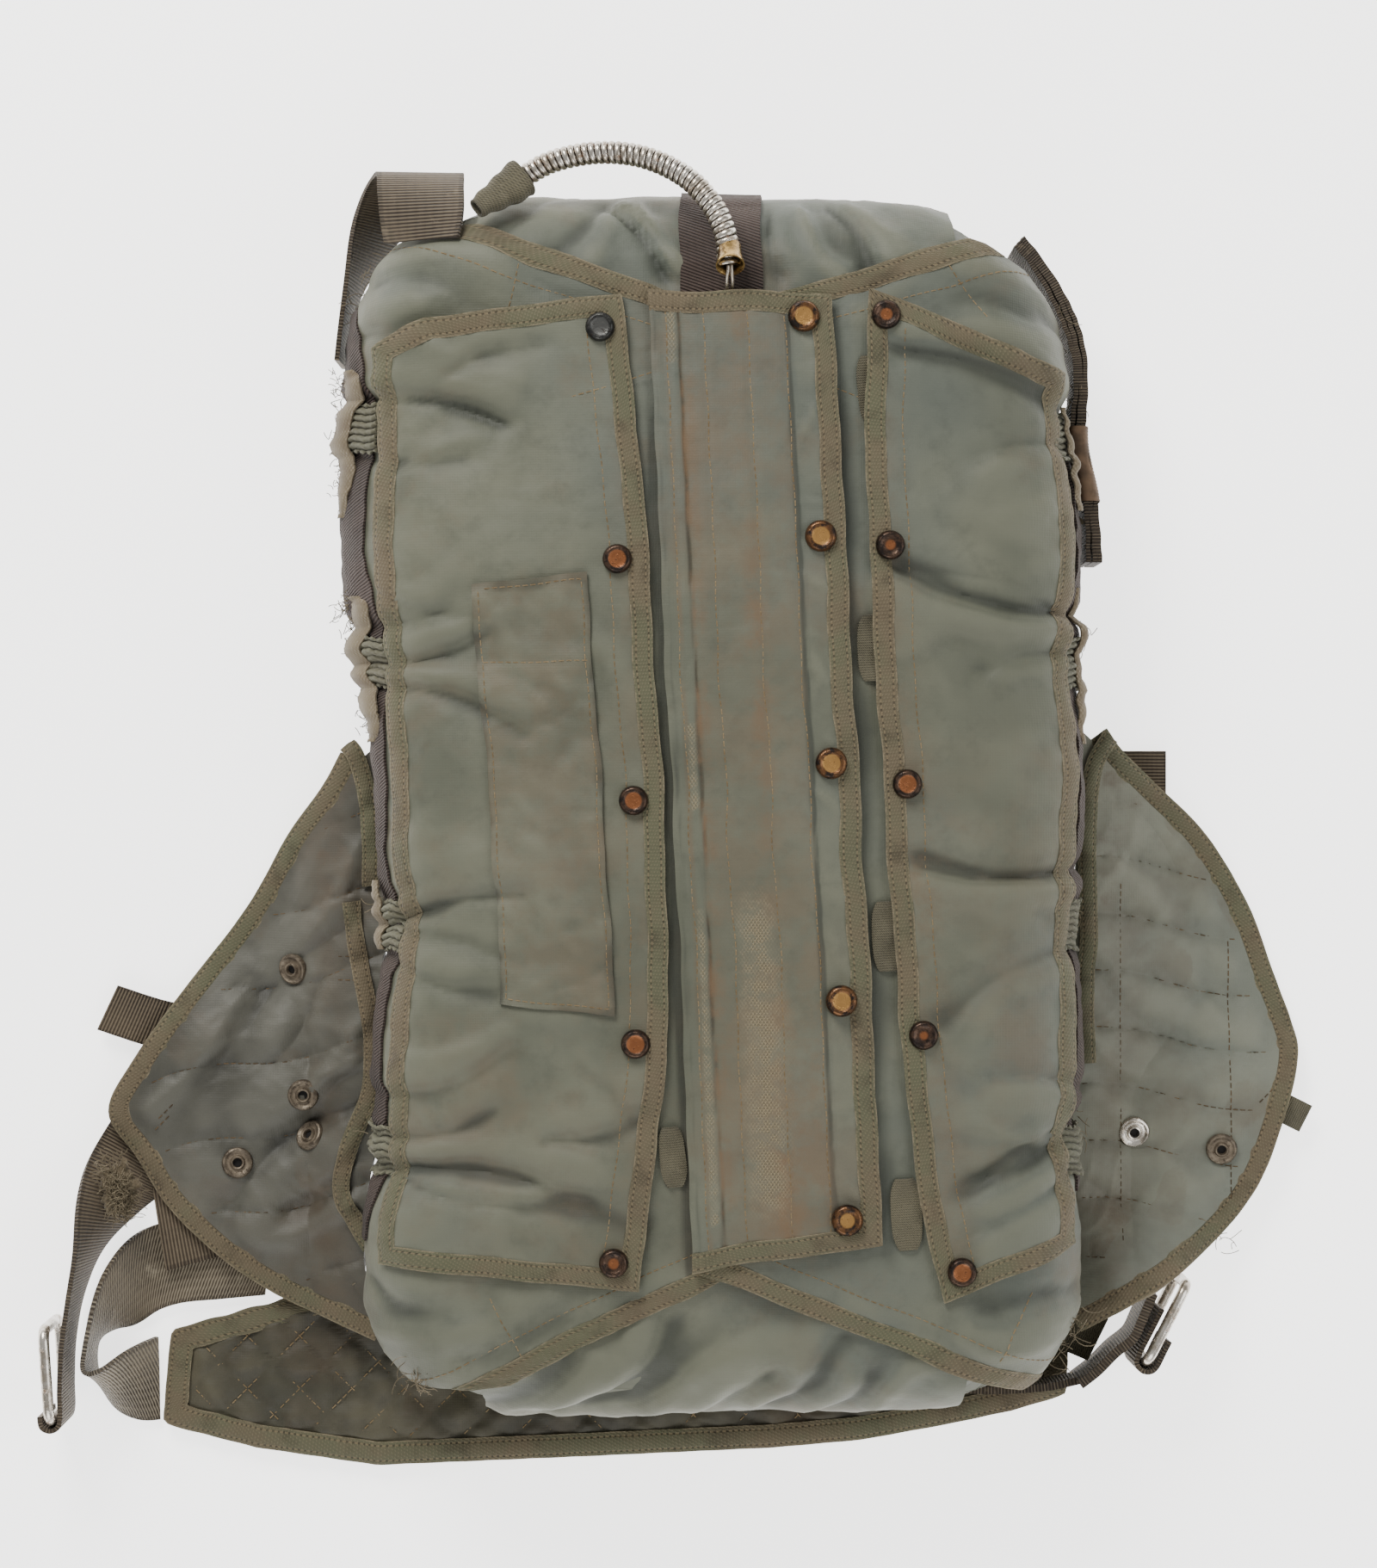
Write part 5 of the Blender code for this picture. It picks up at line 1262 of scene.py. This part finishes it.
# painted highlight on the pad's puffs and painted shade between them
paint(made, "paintedShading", 0.28 + own / 0.0080)
paint(made, "stain", 0.25 * (crumple(x, y, 0.07, 2.0) > 0.4))
paint(made, "worn", np.zeros_like(x))
above = len(points)
applyModifier(made, "SOLIDIFY", thickness=0.004, offset=-1.0)
spots = np.empty(len(made.data.vertices) * 3)
made.data.vertices.foreach_get("co", spots)
spots = spots.reshape(-1, 3)
spots[above:, 2] = 0.0
setPoints(made, spots)
smoothed(made, 60)
dress(made, "lumbar", "back_pad")

inner = ringInset(outline, [10.0] * (len(outline) - 1) + [0.0])
made, columns, lines = gridObject("backPadBinding", 5, 230)
first, last = np.array(along(np.array(outline) * mm, np.linspace(0, 1, 231))), None
steps, lengths = chain(np.array(outline, float) * mm)
last = np.stack([np.interp(np.linspace(0, 1, 231) * lengths[-1], lengths, np.array(inner)[:, k] * mm) for k in (0, 1)], -1)
share = (columns / 5)[:, None]
place = first[lines] * (1 - share) + last[lines] * share
round_ = np.sin(math.pi * columns / 5)
height = 0.0038 + 0.0012 * round_ + 0.0014 * columns / 5 + 0.0004 * np.sin(lines * 0.9)
setPoints(made, np.stack([place[:, 0], place[:, 1], height], -1))
setFlat(made, columns / 5, lines / 230 * lengths[-1])
applyModifier(made, "SOLIDIFY", thickness=0.0036, offset=-1.0)
smoothed(made, 60)
dress(made, "tape", "back_pad_binding")


def onPad(x, y, rise):
    a, b = (x + y) / padShape["diamond"] / 2, (x - y) / padShape["diamond"] / 2
    quilt = (np.abs(np.sin(math.pi * a)) * np.abs(np.sin(math.pi * b))) ** 0.55
    return np.stack([x, y, padShape["height"] - 0.0009 + padShape["puff"] * quilt + rise], -1)


padLines = []
edge = np.array(hem, float)
for k in range(-40, 40):
    for way in (1, -1):
        line = []
        for x in np.arange(-284, 178, 2.0):
            y = way * (k * 2 * padShape["diamond"] / mm - x)
            low = np.interp(x, edge[2:11, 0], edge[2:11, 1]) + 3
            high = np.interp(x, (-281, -160, 150, 178), (-272, -240, -240, -274))
            if low < y < min(high, -240) and -272 < x < 168:
                line.append((x, y))
        if len(line) > 2:
            padLines.append(line)
sew("backPadStitches", padLines, onPad, dash=0.0026, gap=0.0012, wander=False)
print("back pad quilted")


# Harness webbing, as stations of x, y, z in millimetres with the heading and tilt of its width

straps = {
    "riserLoop": ("riser_loop", 0.0026, 0.043, "webbing", (
        (-147, 281, 99, 0, 30), (-147, 295, 100, 0, 14), (-148, 308, 93, 0, 4), (-149, 316, 80, 0, -4), (-153, 316, 64, 0, -14),
        (-163, 306, 50, 0, -38), (-176, 288, 43, 0, -66), (-185, 266, 42, 0, -84), (-190, 244, 42, 0, -90), (-192, 226, 42, 0, -90))),
    "legStrapLeft": ("leg_strap_left", 0.0026, 0.043, "webbing", (
        (-292, -166, 8.6, 150, 2), (-302, -182, 7.5, 152, 12), (-312, -200, 19, 160, 48), (-321, -222, 27, 170, 78),
        (-328, -246, 28, 180, 88), (-332, -270, 28, 180, 90), (-333, -292, 28, 180, 90), (-332.7, -305, 28, 180, 90),
        (-334, -310.4, 28, 180, 90), (-338, -312.2, 28, 180, 90), (-342, -310.2, 28, 180, 90), (-343, -305, 28, 180, 90))),
    "lapStrapLeft": ("lap_strap_left", 0.0026, 0.043, "herring", (
        (-232, -228, 3.1, 84, 0), (-256, -230, 3.1, 88, 0), (-278, -232, 3.3, 92, 0), (-294, -237, 4.9, 98, 4),
        (-306, -247, 14, 104, 34), (-315, -259, 22, 108, 68), (-321, -273, 24, 100, 88), (-321, -286, 24, 92, 82),
        (-313, -294, 21, 92, 58), (-301, -294, 13, 92, 28), (-289, -292, 4.5, 92, 4))),
    "thighStrapLeft": ("thigh_strap_left", 0.0026, 0.043, "webbing", (
        (-236, -201, 6, 105, 0), (-254, -206, 7, 104, 0), (-270, -210, 8, 102, 0), (-281, -213, 9.5, 100, 0), (-288, -215, 9.5, 99, 0))),
    "legStrapRight": ("leg_strap_right", 0.0052, 0.043, "webbing", (
        (182, -290, 24, 110, 88), (191, -283, 24, 118, 88), (200, -274, 24, 130, 88), (208.8, -266.8, 24, 140, 88),
        (212.8, -258.8, 24.4, 150, 88), (216.2, -250.4, 25.6, 150, 88), (219, -243.5, 26.7, 150, 88))),
    "ringStrapRight": ("ring_strap_right", 0.0026, 0.036, "webbing", (
        (223, -251.6, 24.5, 0, 88), (217.1, -263.2, 24.5, 0, 88), (210.7, -275.7, 24.5, 0, 88), (210.4, -279.8, 24.5, 0, 88),
        (213.1, -282.9, 24.5, 0, 88), (217.2, -283.2, 24.5, 0, 88), (220.3, -280.6, 24.5, 0, 88), (223.9, -273.5, 24.5, 0, 88),
        (226.7, -268, 24.5, 0, 88))),
    "wingTabLeft": ("wing_tab_left", 0.0026, 0.025, "webbing", ((-278, -112, 5.6, 68, 0), (-294, -108, 6.4, 67, 0), (-315, -101, 7, 65, 0))),
    "wingLoopRight": ("wing_loop_right", 0.0026, 0.022, "webbing", ((219, -4, 3.6, 0, 0), (219, 14, 3.8, 0, 0), (219, 31, 4, 0, 0))),
}
extraStraps = {  # pieces too small for the solids
    "legStrapTail": (None, 0.0040, 0.026, "webbing", (
        (118, -293, 24, 94, 88), (136, -294, 24, 96, 88), (152, -293.5, 24, 98, 88), (168, -292, 24, 104, 88), (184, -288.5, 24, 112, 88))),
    "padEndTab": (None, 0.0022, 0.024, "tab", ((168, -262, 15, 60, 6), (182, -266, 14, 62, 4), (194, -271, 13, 64, 0))),
    "wingTabRight": (None, 0.0022, 0.015, "tab", ((285, -150, 12, 63, 0), (293, -154, 11, 63, 0), (301, -158, 9, 63, 0))),
}
for name, (node, thickness, width, finish, stations) in {**straps, **extraStraps}.items():
    line = np.array(curved(stations, 8))
    lengths = np.concatenate([[0], np.cumsum(np.linalg.norm(np.diff(line[:, :3], axis=0), axis=1))]) * mm
    made, columns, lines = gridObject(name, 6, len(line) - 1)
    share = columns / 6
    turn, lean = np.radians(line[lines, 3]), np.radians(line[lines, 4])
    across = np.stack([np.cos(turn) * np.cos(lean), np.sin(turn) * np.cos(lean), np.sin(lean)], -1)
    place = line[lines, :3] * mm + across * ((share - 0.5) * width)[:, None]
    setPoints(made, place)
    setFlat(made, share, lengths[lines])
    applyModifier(made, "SOLIDIFY", thickness=thickness * 0.92, offset=0.0)
    smoothed(made, 45)
    dress(made, finish, *((node,) if node else ()))

riser = {"reach": (139, 97), "rows": (126, 142, 160, 177, 194, 211, 228), "turns": (8, 16, 24, 32, 40, 48), "lift": 0.0142}
edges = []
for reach in riser["reach"]:
    line = [(99 + reach, row) for row in riser["rows"]]
    line += [(99 + reach * math.cos(math.radians(turn)), 228 + reach * math.sin(math.radians(turn))) for turn in riser["turns"]]
    edges.append(line)
for layer, lift in enumerate((-0.0027, 0.0, 0.0027)):
    layTape(f"riserRight{layer}", edges[0], edges[1], riser["lift"] + lift, 0.0023, ("riser_right",) if layer == 1 else (),
            finish="webbing", bulge=0.0, folds=0.0, extra=lambda s, t, k=layer: 0.0003 * np.sin(t * 90 + k * 2))
made, columns, lines = gridObject("riserWrap", 40, 96)
turn = columns / 40 * 2 * math.pi
span = np.linspace(0.198, 0.158, 97)[lines]
ring = 0.0003 * np.abs(np.sin(lines * math.pi / 4))
squared = lambda value: np.sign(value) * np.abs(value) ** 0.55
reach = 0.217 + 0.0222 * squared(np.sin(turn))
place = packPoint(reach, span, riser["lift"] + (0.0058 + ring) * squared(np.cos(turn)), 0.0)[0]
setPoints(made, place)
paint(made, "centre", np.zeros(len(place)))
smoothed(made, 60)
dress(made, "wrap")
print("webbing laid")


# Rings, conduit and cable

def wirePiece(name, points, radius, finish, nodes, closed=False, sides=4):
    curve = bpy.data.curves.new(name, "CURVE")
    curve.dimensions = "3D"
    curve.bevel_depth = radius
    curve.bevel_resolution = sides
    curve.use_fill_caps = not closed
    spline = curve.splines.new("POLY")
    spline.points.add(len(points) - 1)
    for spot, point in zip(spline.points, points):
        spot.co = (*point, 1.0)
    spline.use_cyclic_u = closed
    spline.use_smooth = True
    made = bpy.data.objects.new(name, curve)
    bpy.context.collection.objects.link(made)
    return dress(made, finish, *nodes)


rings = {"ringLeft": ("ring_left", -0.3390, -0.2840, 0.0282, 94, 0.046, 0.0500, 0.007),
         "ringRight": ("ring_right", 0.2255, -0.2585, 0.0245, 63, 0.044, 0.0425, 0.007)}
for name, (node, x, y, z, heading, length, height, corner) in rings.items():
    points = []
    for quarter, (end, side) in enumerate(((1, 1), (-1, 1), (-1, -1), (1, -1))):
        for k in range(9):
            angle = math.pi / 2 * (quarter + k / 8)
            out = end * (length / 2 - corner) + corner * math.cos(angle)
            up = side * (height / 2 - corner) + corner * math.sin(angle)
            points.append((x + math.cos(math.radians(heading)) * out, y + math.sin(math.radians(heading)) * out, z + up))
    wirePiece(name, points, 0.0028, "steel", (node,), True)

conduit = {"line": ((-97.1, 312.4, 97.4), (-82, 319.5, 101), (-60, 323, 105), (-38, 320, 110), (-18, 310, 115),
                    (-5, 296, 119), (2, 280, 122), (3, 265, 122)), "pitch": 0.0033, "radius": 0.0056}
path = np.array(curved(conduit["line"], 24)) * mm
lengths = np.concatenate([[0], np.cumsum(np.linalg.norm(np.diff(path, axis=0), axis=1))])
rows = int(lengths[-1] / conduit["pitch"] * 12)
at = np.linspace(0, lengths[-1], rows + 1)
path = np.stack([np.interp(at, lengths, path[:, k]) for k in range(3)], -1)
made, columns, lines = gridObject("ripcordConduit", 28, rows)
way = np.gradient(path, axis=0)
way = way / np.linalg.norm(way, axis=1)[:, None]
side = np.cross(way, (0, 0, 1.0))
side = side / np.linalg.norm(side, axis=1)[:, None]
up = np.cross(side, way)
turn = columns / 28 * 2 * math.pi
share = (at[lines] / conduit["pitch"] + columns / 28) % 1
radius = conduit["radius"] * (0.78 + 0.24 * np.sqrt(np.maximum(0, 1 - (2 * share - 1) ** 2)))
setPoints(made, path[lines] + side[lines] * (radius * np.cos(turn))[:, None] + up[lines] * (radius * np.sin(turn))[:, None])
# painted shade in the grooves between the ribs
paint(made, "centre", 1 - np.sqrt(np.maximum(0, 1 - (2 * share - 1) ** 2)))
applyModifier(made, "WELD", merge_threshold=0.00002)
smoothed(made, 60)
dress(made, "ribbed", "conduit")

mouth = {"place": np.array([0.0038, 0.2745, 0.1222]), "axis": np.array([0.03, -0.80, 0.60])}
mouth["axis"] /= np.linalg.norm(mouth["axis"])
flare = [(0.0050, 0.0), (0.0057, 0.0), (0.0058, 0.004), (0.0060, 0.0075), (0.0065, 0.0100), (0.0070, 0.0116), (0.0070, 0.0126),
         (0.0064, 0.0126), (0.0054, 0.0112), (0.0050, 0.0085), (0.0048, 0.004)]
turnedPiece("conduitFerrule", flare, 40, mouth["place"], mouth["axis"], "brass", ())
# a dark disc as painted shade inside the conduit's open end
turnedPiece("conduitMouth", [(0.0, 0.0), (0.0051, 0.0)], 32, mouth["place"] + mouth["axis"] * 0.0065, mouth["axis"], "hole", ())
for number, shift in enumerate((-0.0011, 0.0011)):
    start = mouth["place"] + mouth["axis"] * 0.0060 + np.array([shift, -0.0015, -0.001])
    cable = [start + np.array([0.0003 * math.sin(k * 1.1 + number * 3), -0.0024 * k, 0.0012 * k - 0.00042 * k * k]) for k in range(8)]
    wirePiece(f"ripcordCable{number}", cable, 0.0009, "steel", (), False, 3)

# Cloth sleeve on the conduit's outer end, tapering to the strap
sleeve = {"line": ((-119.5, 295, 110), (-115, 298.5, 107), (-109, 303, 103), (-103, 307.6, 99.6), (-97.5, 312, 97.2)),
          "widths": (7.5, 10, 13, 16, 17.5), "depths": (4, 6, 9, 12.5, 13.5)}
route = np.array(curved([(*p, w, d) for p, w, d in zip(sleeve["line"], sleeve["widths"], sleeve["depths"])], 6)) * mm
made, columns, lines = gridObject("conduitSleeve", 32, len(route) - 1)
turn = columns / 32 * 2 * math.pi
way = np.gradient(route[:, :3], axis=0)
way = way / np.linalg.norm(way, axis=1)[:, None]
side = np.cross(way, (0, 0, 1.0))
side = side / np.linalg.norm(side, axis=1)[:, None]
up = np.cross(side, way)
squared = lambda value: np.sign(value) * np.abs(value) ** 0.72
out = route[lines, 3] / 2 * squared(np.cos(turn)) + 0.0004 * np.sin(lines * 0.8)
high = route[lines, 4] / 2 * squared(np.sin(turn))
setPoints(made, route[lines, :3] + side[lines] * out[:, None] + up[lines] * high[:, None])
setFlat(made, columns / 32 * 2 % 1, lines * 0.001)
applyModifier(made, "SOLIDIFY", thickness=0.0011, offset=-1.0)
smoothed(made, 50)
dress(made, "tab", "conduit_sleeve")
print("conduit bent")


# Small cloth tabs in the gaps beside the cover

gapTabs = {
    "gapTab1": (74, 206, 15, 34, 0.30), "gapTab2": (73, 80, 14, 32, 0.10), "gapTab3": (80, -60, 14, 34, 0.15), "gapTab4": (90, -197, 15, 36, 0.20),
    "gapTabLeft": (-24, -168, 13, 30, 0.35),
}
for name, (x, y, width, length, turn) in gapTabs.items():
    made, columns, lines = gridObject(name, 8, 18)
    across, up = (columns / 8 - 0.5) * width, (lines / 18 - 0.5) * length
    narrow = 1 - 0.45 * np.abs(up / length * 2) ** 4
    s = (x + across * narrow * math.cos(turn * 0.3) - up * math.sin(turn * 0.3)) * mm
    t = (y + across * narrow * math.sin(turn * 0.3) + up * math.cos(turn * 0.3)) * mm
    base = rightFlapLift(s, t) if x > 0 else leftFlapLift(s, t)
    lift = base + 0.0019 + 0.0009 * np.sin(up * 0.35 + turn * 9) * np.cos(across * 0.3)
    points, normal, relief = packPoint(s, t, lift)
    setPoints(made, points)
    setFlat(made, columns / 8, up * mm)
    applyModifier(made, "SOLIDIFY", thickness=0.0012, offset=0.0)
    smoothed(made, 60)
    dress(made, "tab")


# Frayed edges and worn canvas by the bands

def fibres(name, spots, finish, seed):  # spots of x, y, z, count, reach in millimetres
    source = np.random.default_rng(seed)
    curve = bpy.data.curves.new(name, "CURVE")
    curve.dimensions = "3D"
    curve.bevel_depth = 0.00019
    curve.bevel_resolution = 0
    for x, y, z, count, reach in spots:
        for _ in range(count):
            start = np.array([x, y, z]) * mm + source.normal(0, 0.0030, 3) * (1, 1.5, 0.4)
            way = source.normal(0, 1, 3) * (1, 1, 0.5)
            way = way / np.linalg.norm(way) * reach * mm / 6
            bend = source.normal(0, 0.6, 3)
            spline = curve.splines.new("POLY")
            spline.points.add(6)
            spot = start
            for k in range(7):
                spline.points[k].co = (*spot, 1.0)
                way = way + np.cross(bend, way) * 0.35
                spot = spot + way
    made = bpy.data.objects.new(name, curve)
    bpy.context.collection.objects.link(made)
    return dress(made, finish)


def above(s, t, lift):
    return packPoint(np.array(s * mm), np.array(t * mm), lift)[0] / mm


fraySpots = []
for s, t, lift, count, reach in (
    (-194, 212, 0.009, 30, 4), (-200, 198, 0.008, 40, 5), (-201, 186, 0.007, 40, 4), (-201, 174, 0.007, 40, 5), (-199, 160, 0.007, 30, 4),
    (-194, 102, 0.009, 30, 4), (-200, 88, 0.008, 40, 5), (-201, 74, 0.007, 40, 4), (-199, 60, 0.007, 40, 5), (-196, 46, 0.007, 30, 5), (-204, -46, 0.008, 12, 7), (-204, -160, 0.008, 14, 8), (-196, 262, 0.008, 14, 12), (-186, 282, 0.008, 10, 10),
    (196, 252, 0.008, 14, 10), (200, 214, 0.009, 12, 8), (204, 170, 0.009, 12, 8), (200, 86, 0.009, 8, 6), (200, -50, 0.009, 8, 6),
    (-150, -285, 0.009, 30, 10), (176, -262, 0.008, 18, 12), (184, -284, 0.008, 14, 12), (-196, 100, 0.009, 10, 7), (202, -160, 0.008, 10, 8),
):
    fraySpots.append((*above(s, t, lift), count, reach))
for x, y, z, count, reach in ((-307, -192, 31, 190, 5), (-303, -200, 31, 170, 5), (-310, -184, 30, 90, 6), (-304, -194, 34, 140, 4),
                              (255, -222, 30, 8, 9), (-176, -240, 24, 14, 8)):
    fraySpots.append((x, y, z, count, reach))
fibres("frayedThreads", fraySpots, "canvas", 4)

tuft = {"place": (-306, -192, 26.5), "size": (9.5, 13.5), "height": 5.5}
made, columns, lines = gridObject("frayedTuft", 30, 30)
u, v = columns / 15 - 1, lines / 15 - 1
ring = np.maximum(np.abs(u), np.abs(v))
turn = np.arctan2(v, u)
ragged = 1 + 0.14 * np.sin(5 * turn + 1) + 0.09 * np.sin(11 * turn) + 0.05 * np.sin(23 * turn)
x = tuft["size"][0] * ring * ragged * np.cos(turn)
y = tuft["size"][1] * ring * ragged * np.sin(turn)
own = 0.9 * crumple(x * mm, y * mm, 0.006, 2.0) + 1.0 * ridges(x * mm, y * mm, 0.005, 1.0)
rise = tuft["height"] * np.sqrt(np.maximum(0, 1 - ring**2)) + own * (1 - 0.5 * ring)
setPoints(made, np.stack([tuft["place"][0] + x, tuft["place"][1] + y, tuft["place"][2] + rise], -1) * mm)
setFlat(made, x * mm, y * mm)
# painted shade and highlight on the tuft's crumples
paint(made, "paintedShading", 0.45 + own * 0.25)
paint(made, "stain", np.zeros_like(x))
paint(made, "worn", np.full_like(x, 0.4))
smoothed(made, 60)
dress(made, "scrap")
loop = [(0.178 + 0.0034 * math.cos(k * 0.5), 0.1445 + 0.0026 * math.sin(k * 0.5), 0.060 + 0.0012 * math.sin(k)) for k in range(12)]
wirePiece("wrapLoop", loop, 0.0009, "canvas", (), False, 3)

print("small pieces laid")


# Floor and light

deselect()
bpy.ops.mesh.primitive_plane_add(size=24, location=(0, 0, -0.0002))
floor = bpy.context.object
floor.name = "studioFloor"
paper = bpy.data.materials.new("studioPaper")
paper.use_nodes = True
paper.node_tree.nodes["Principled BSDF"].inputs["Base Color"].default_value = (0.93, 0.925, 0.92, 1.0)
paper.node_tree.nodes["Principled BSDF"].inputs["Emission Color"].default_value = (1.0, 0.995, 0.985, 1.0)
paper.node_tree.nodes["Principled BSDF"].inputs["Emission Strength"].default_value = 2.2
paper.node_tree.nodes["Principled BSDF"].inputs["Roughness"].default_value = 0.9
floor.data.materials.append(paper)

lights = {  # place, size, power, colour
    "keyLight": ((-0.70, 1.55, 1.30), 0.9, 51.0, (1.0, 0.985, 0.955)),
    "fillLight": ((1.6, -0.2, 1.4), 1.6, 20.0, (0.98, 0.99, 1.0)),
    "lowLight": ((-0.3, -1.8, 1.2), 1.6, 26.0, (1.0, 0.995, 0.98)),
}
for name, (place, size, power, colour) in lights.items():
    deselect()
    bpy.ops.object.light_add(type="AREA", location=place)
    lamp = bpy.context.object
    lamp.name = name
    lamp.data.size = size
    lamp.data.energy = power
    lamp.data.color = colour
    lamp.rotation_euler = (Vector((0, 0, 0.05)) - Vector(place)).to_track_quat("-Z", "Y").to_euler()

world = bpy.data.worlds.new("studioWorld")
world.use_nodes = True
world.node_tree.nodes["Background"].inputs["Color"].default_value = (1.0, 0.995, 0.985, 1.0)
world.node_tree.nodes["Background"].inputs["Strength"].default_value = 0.5
bpy.context.scene.world = world
print("lit")
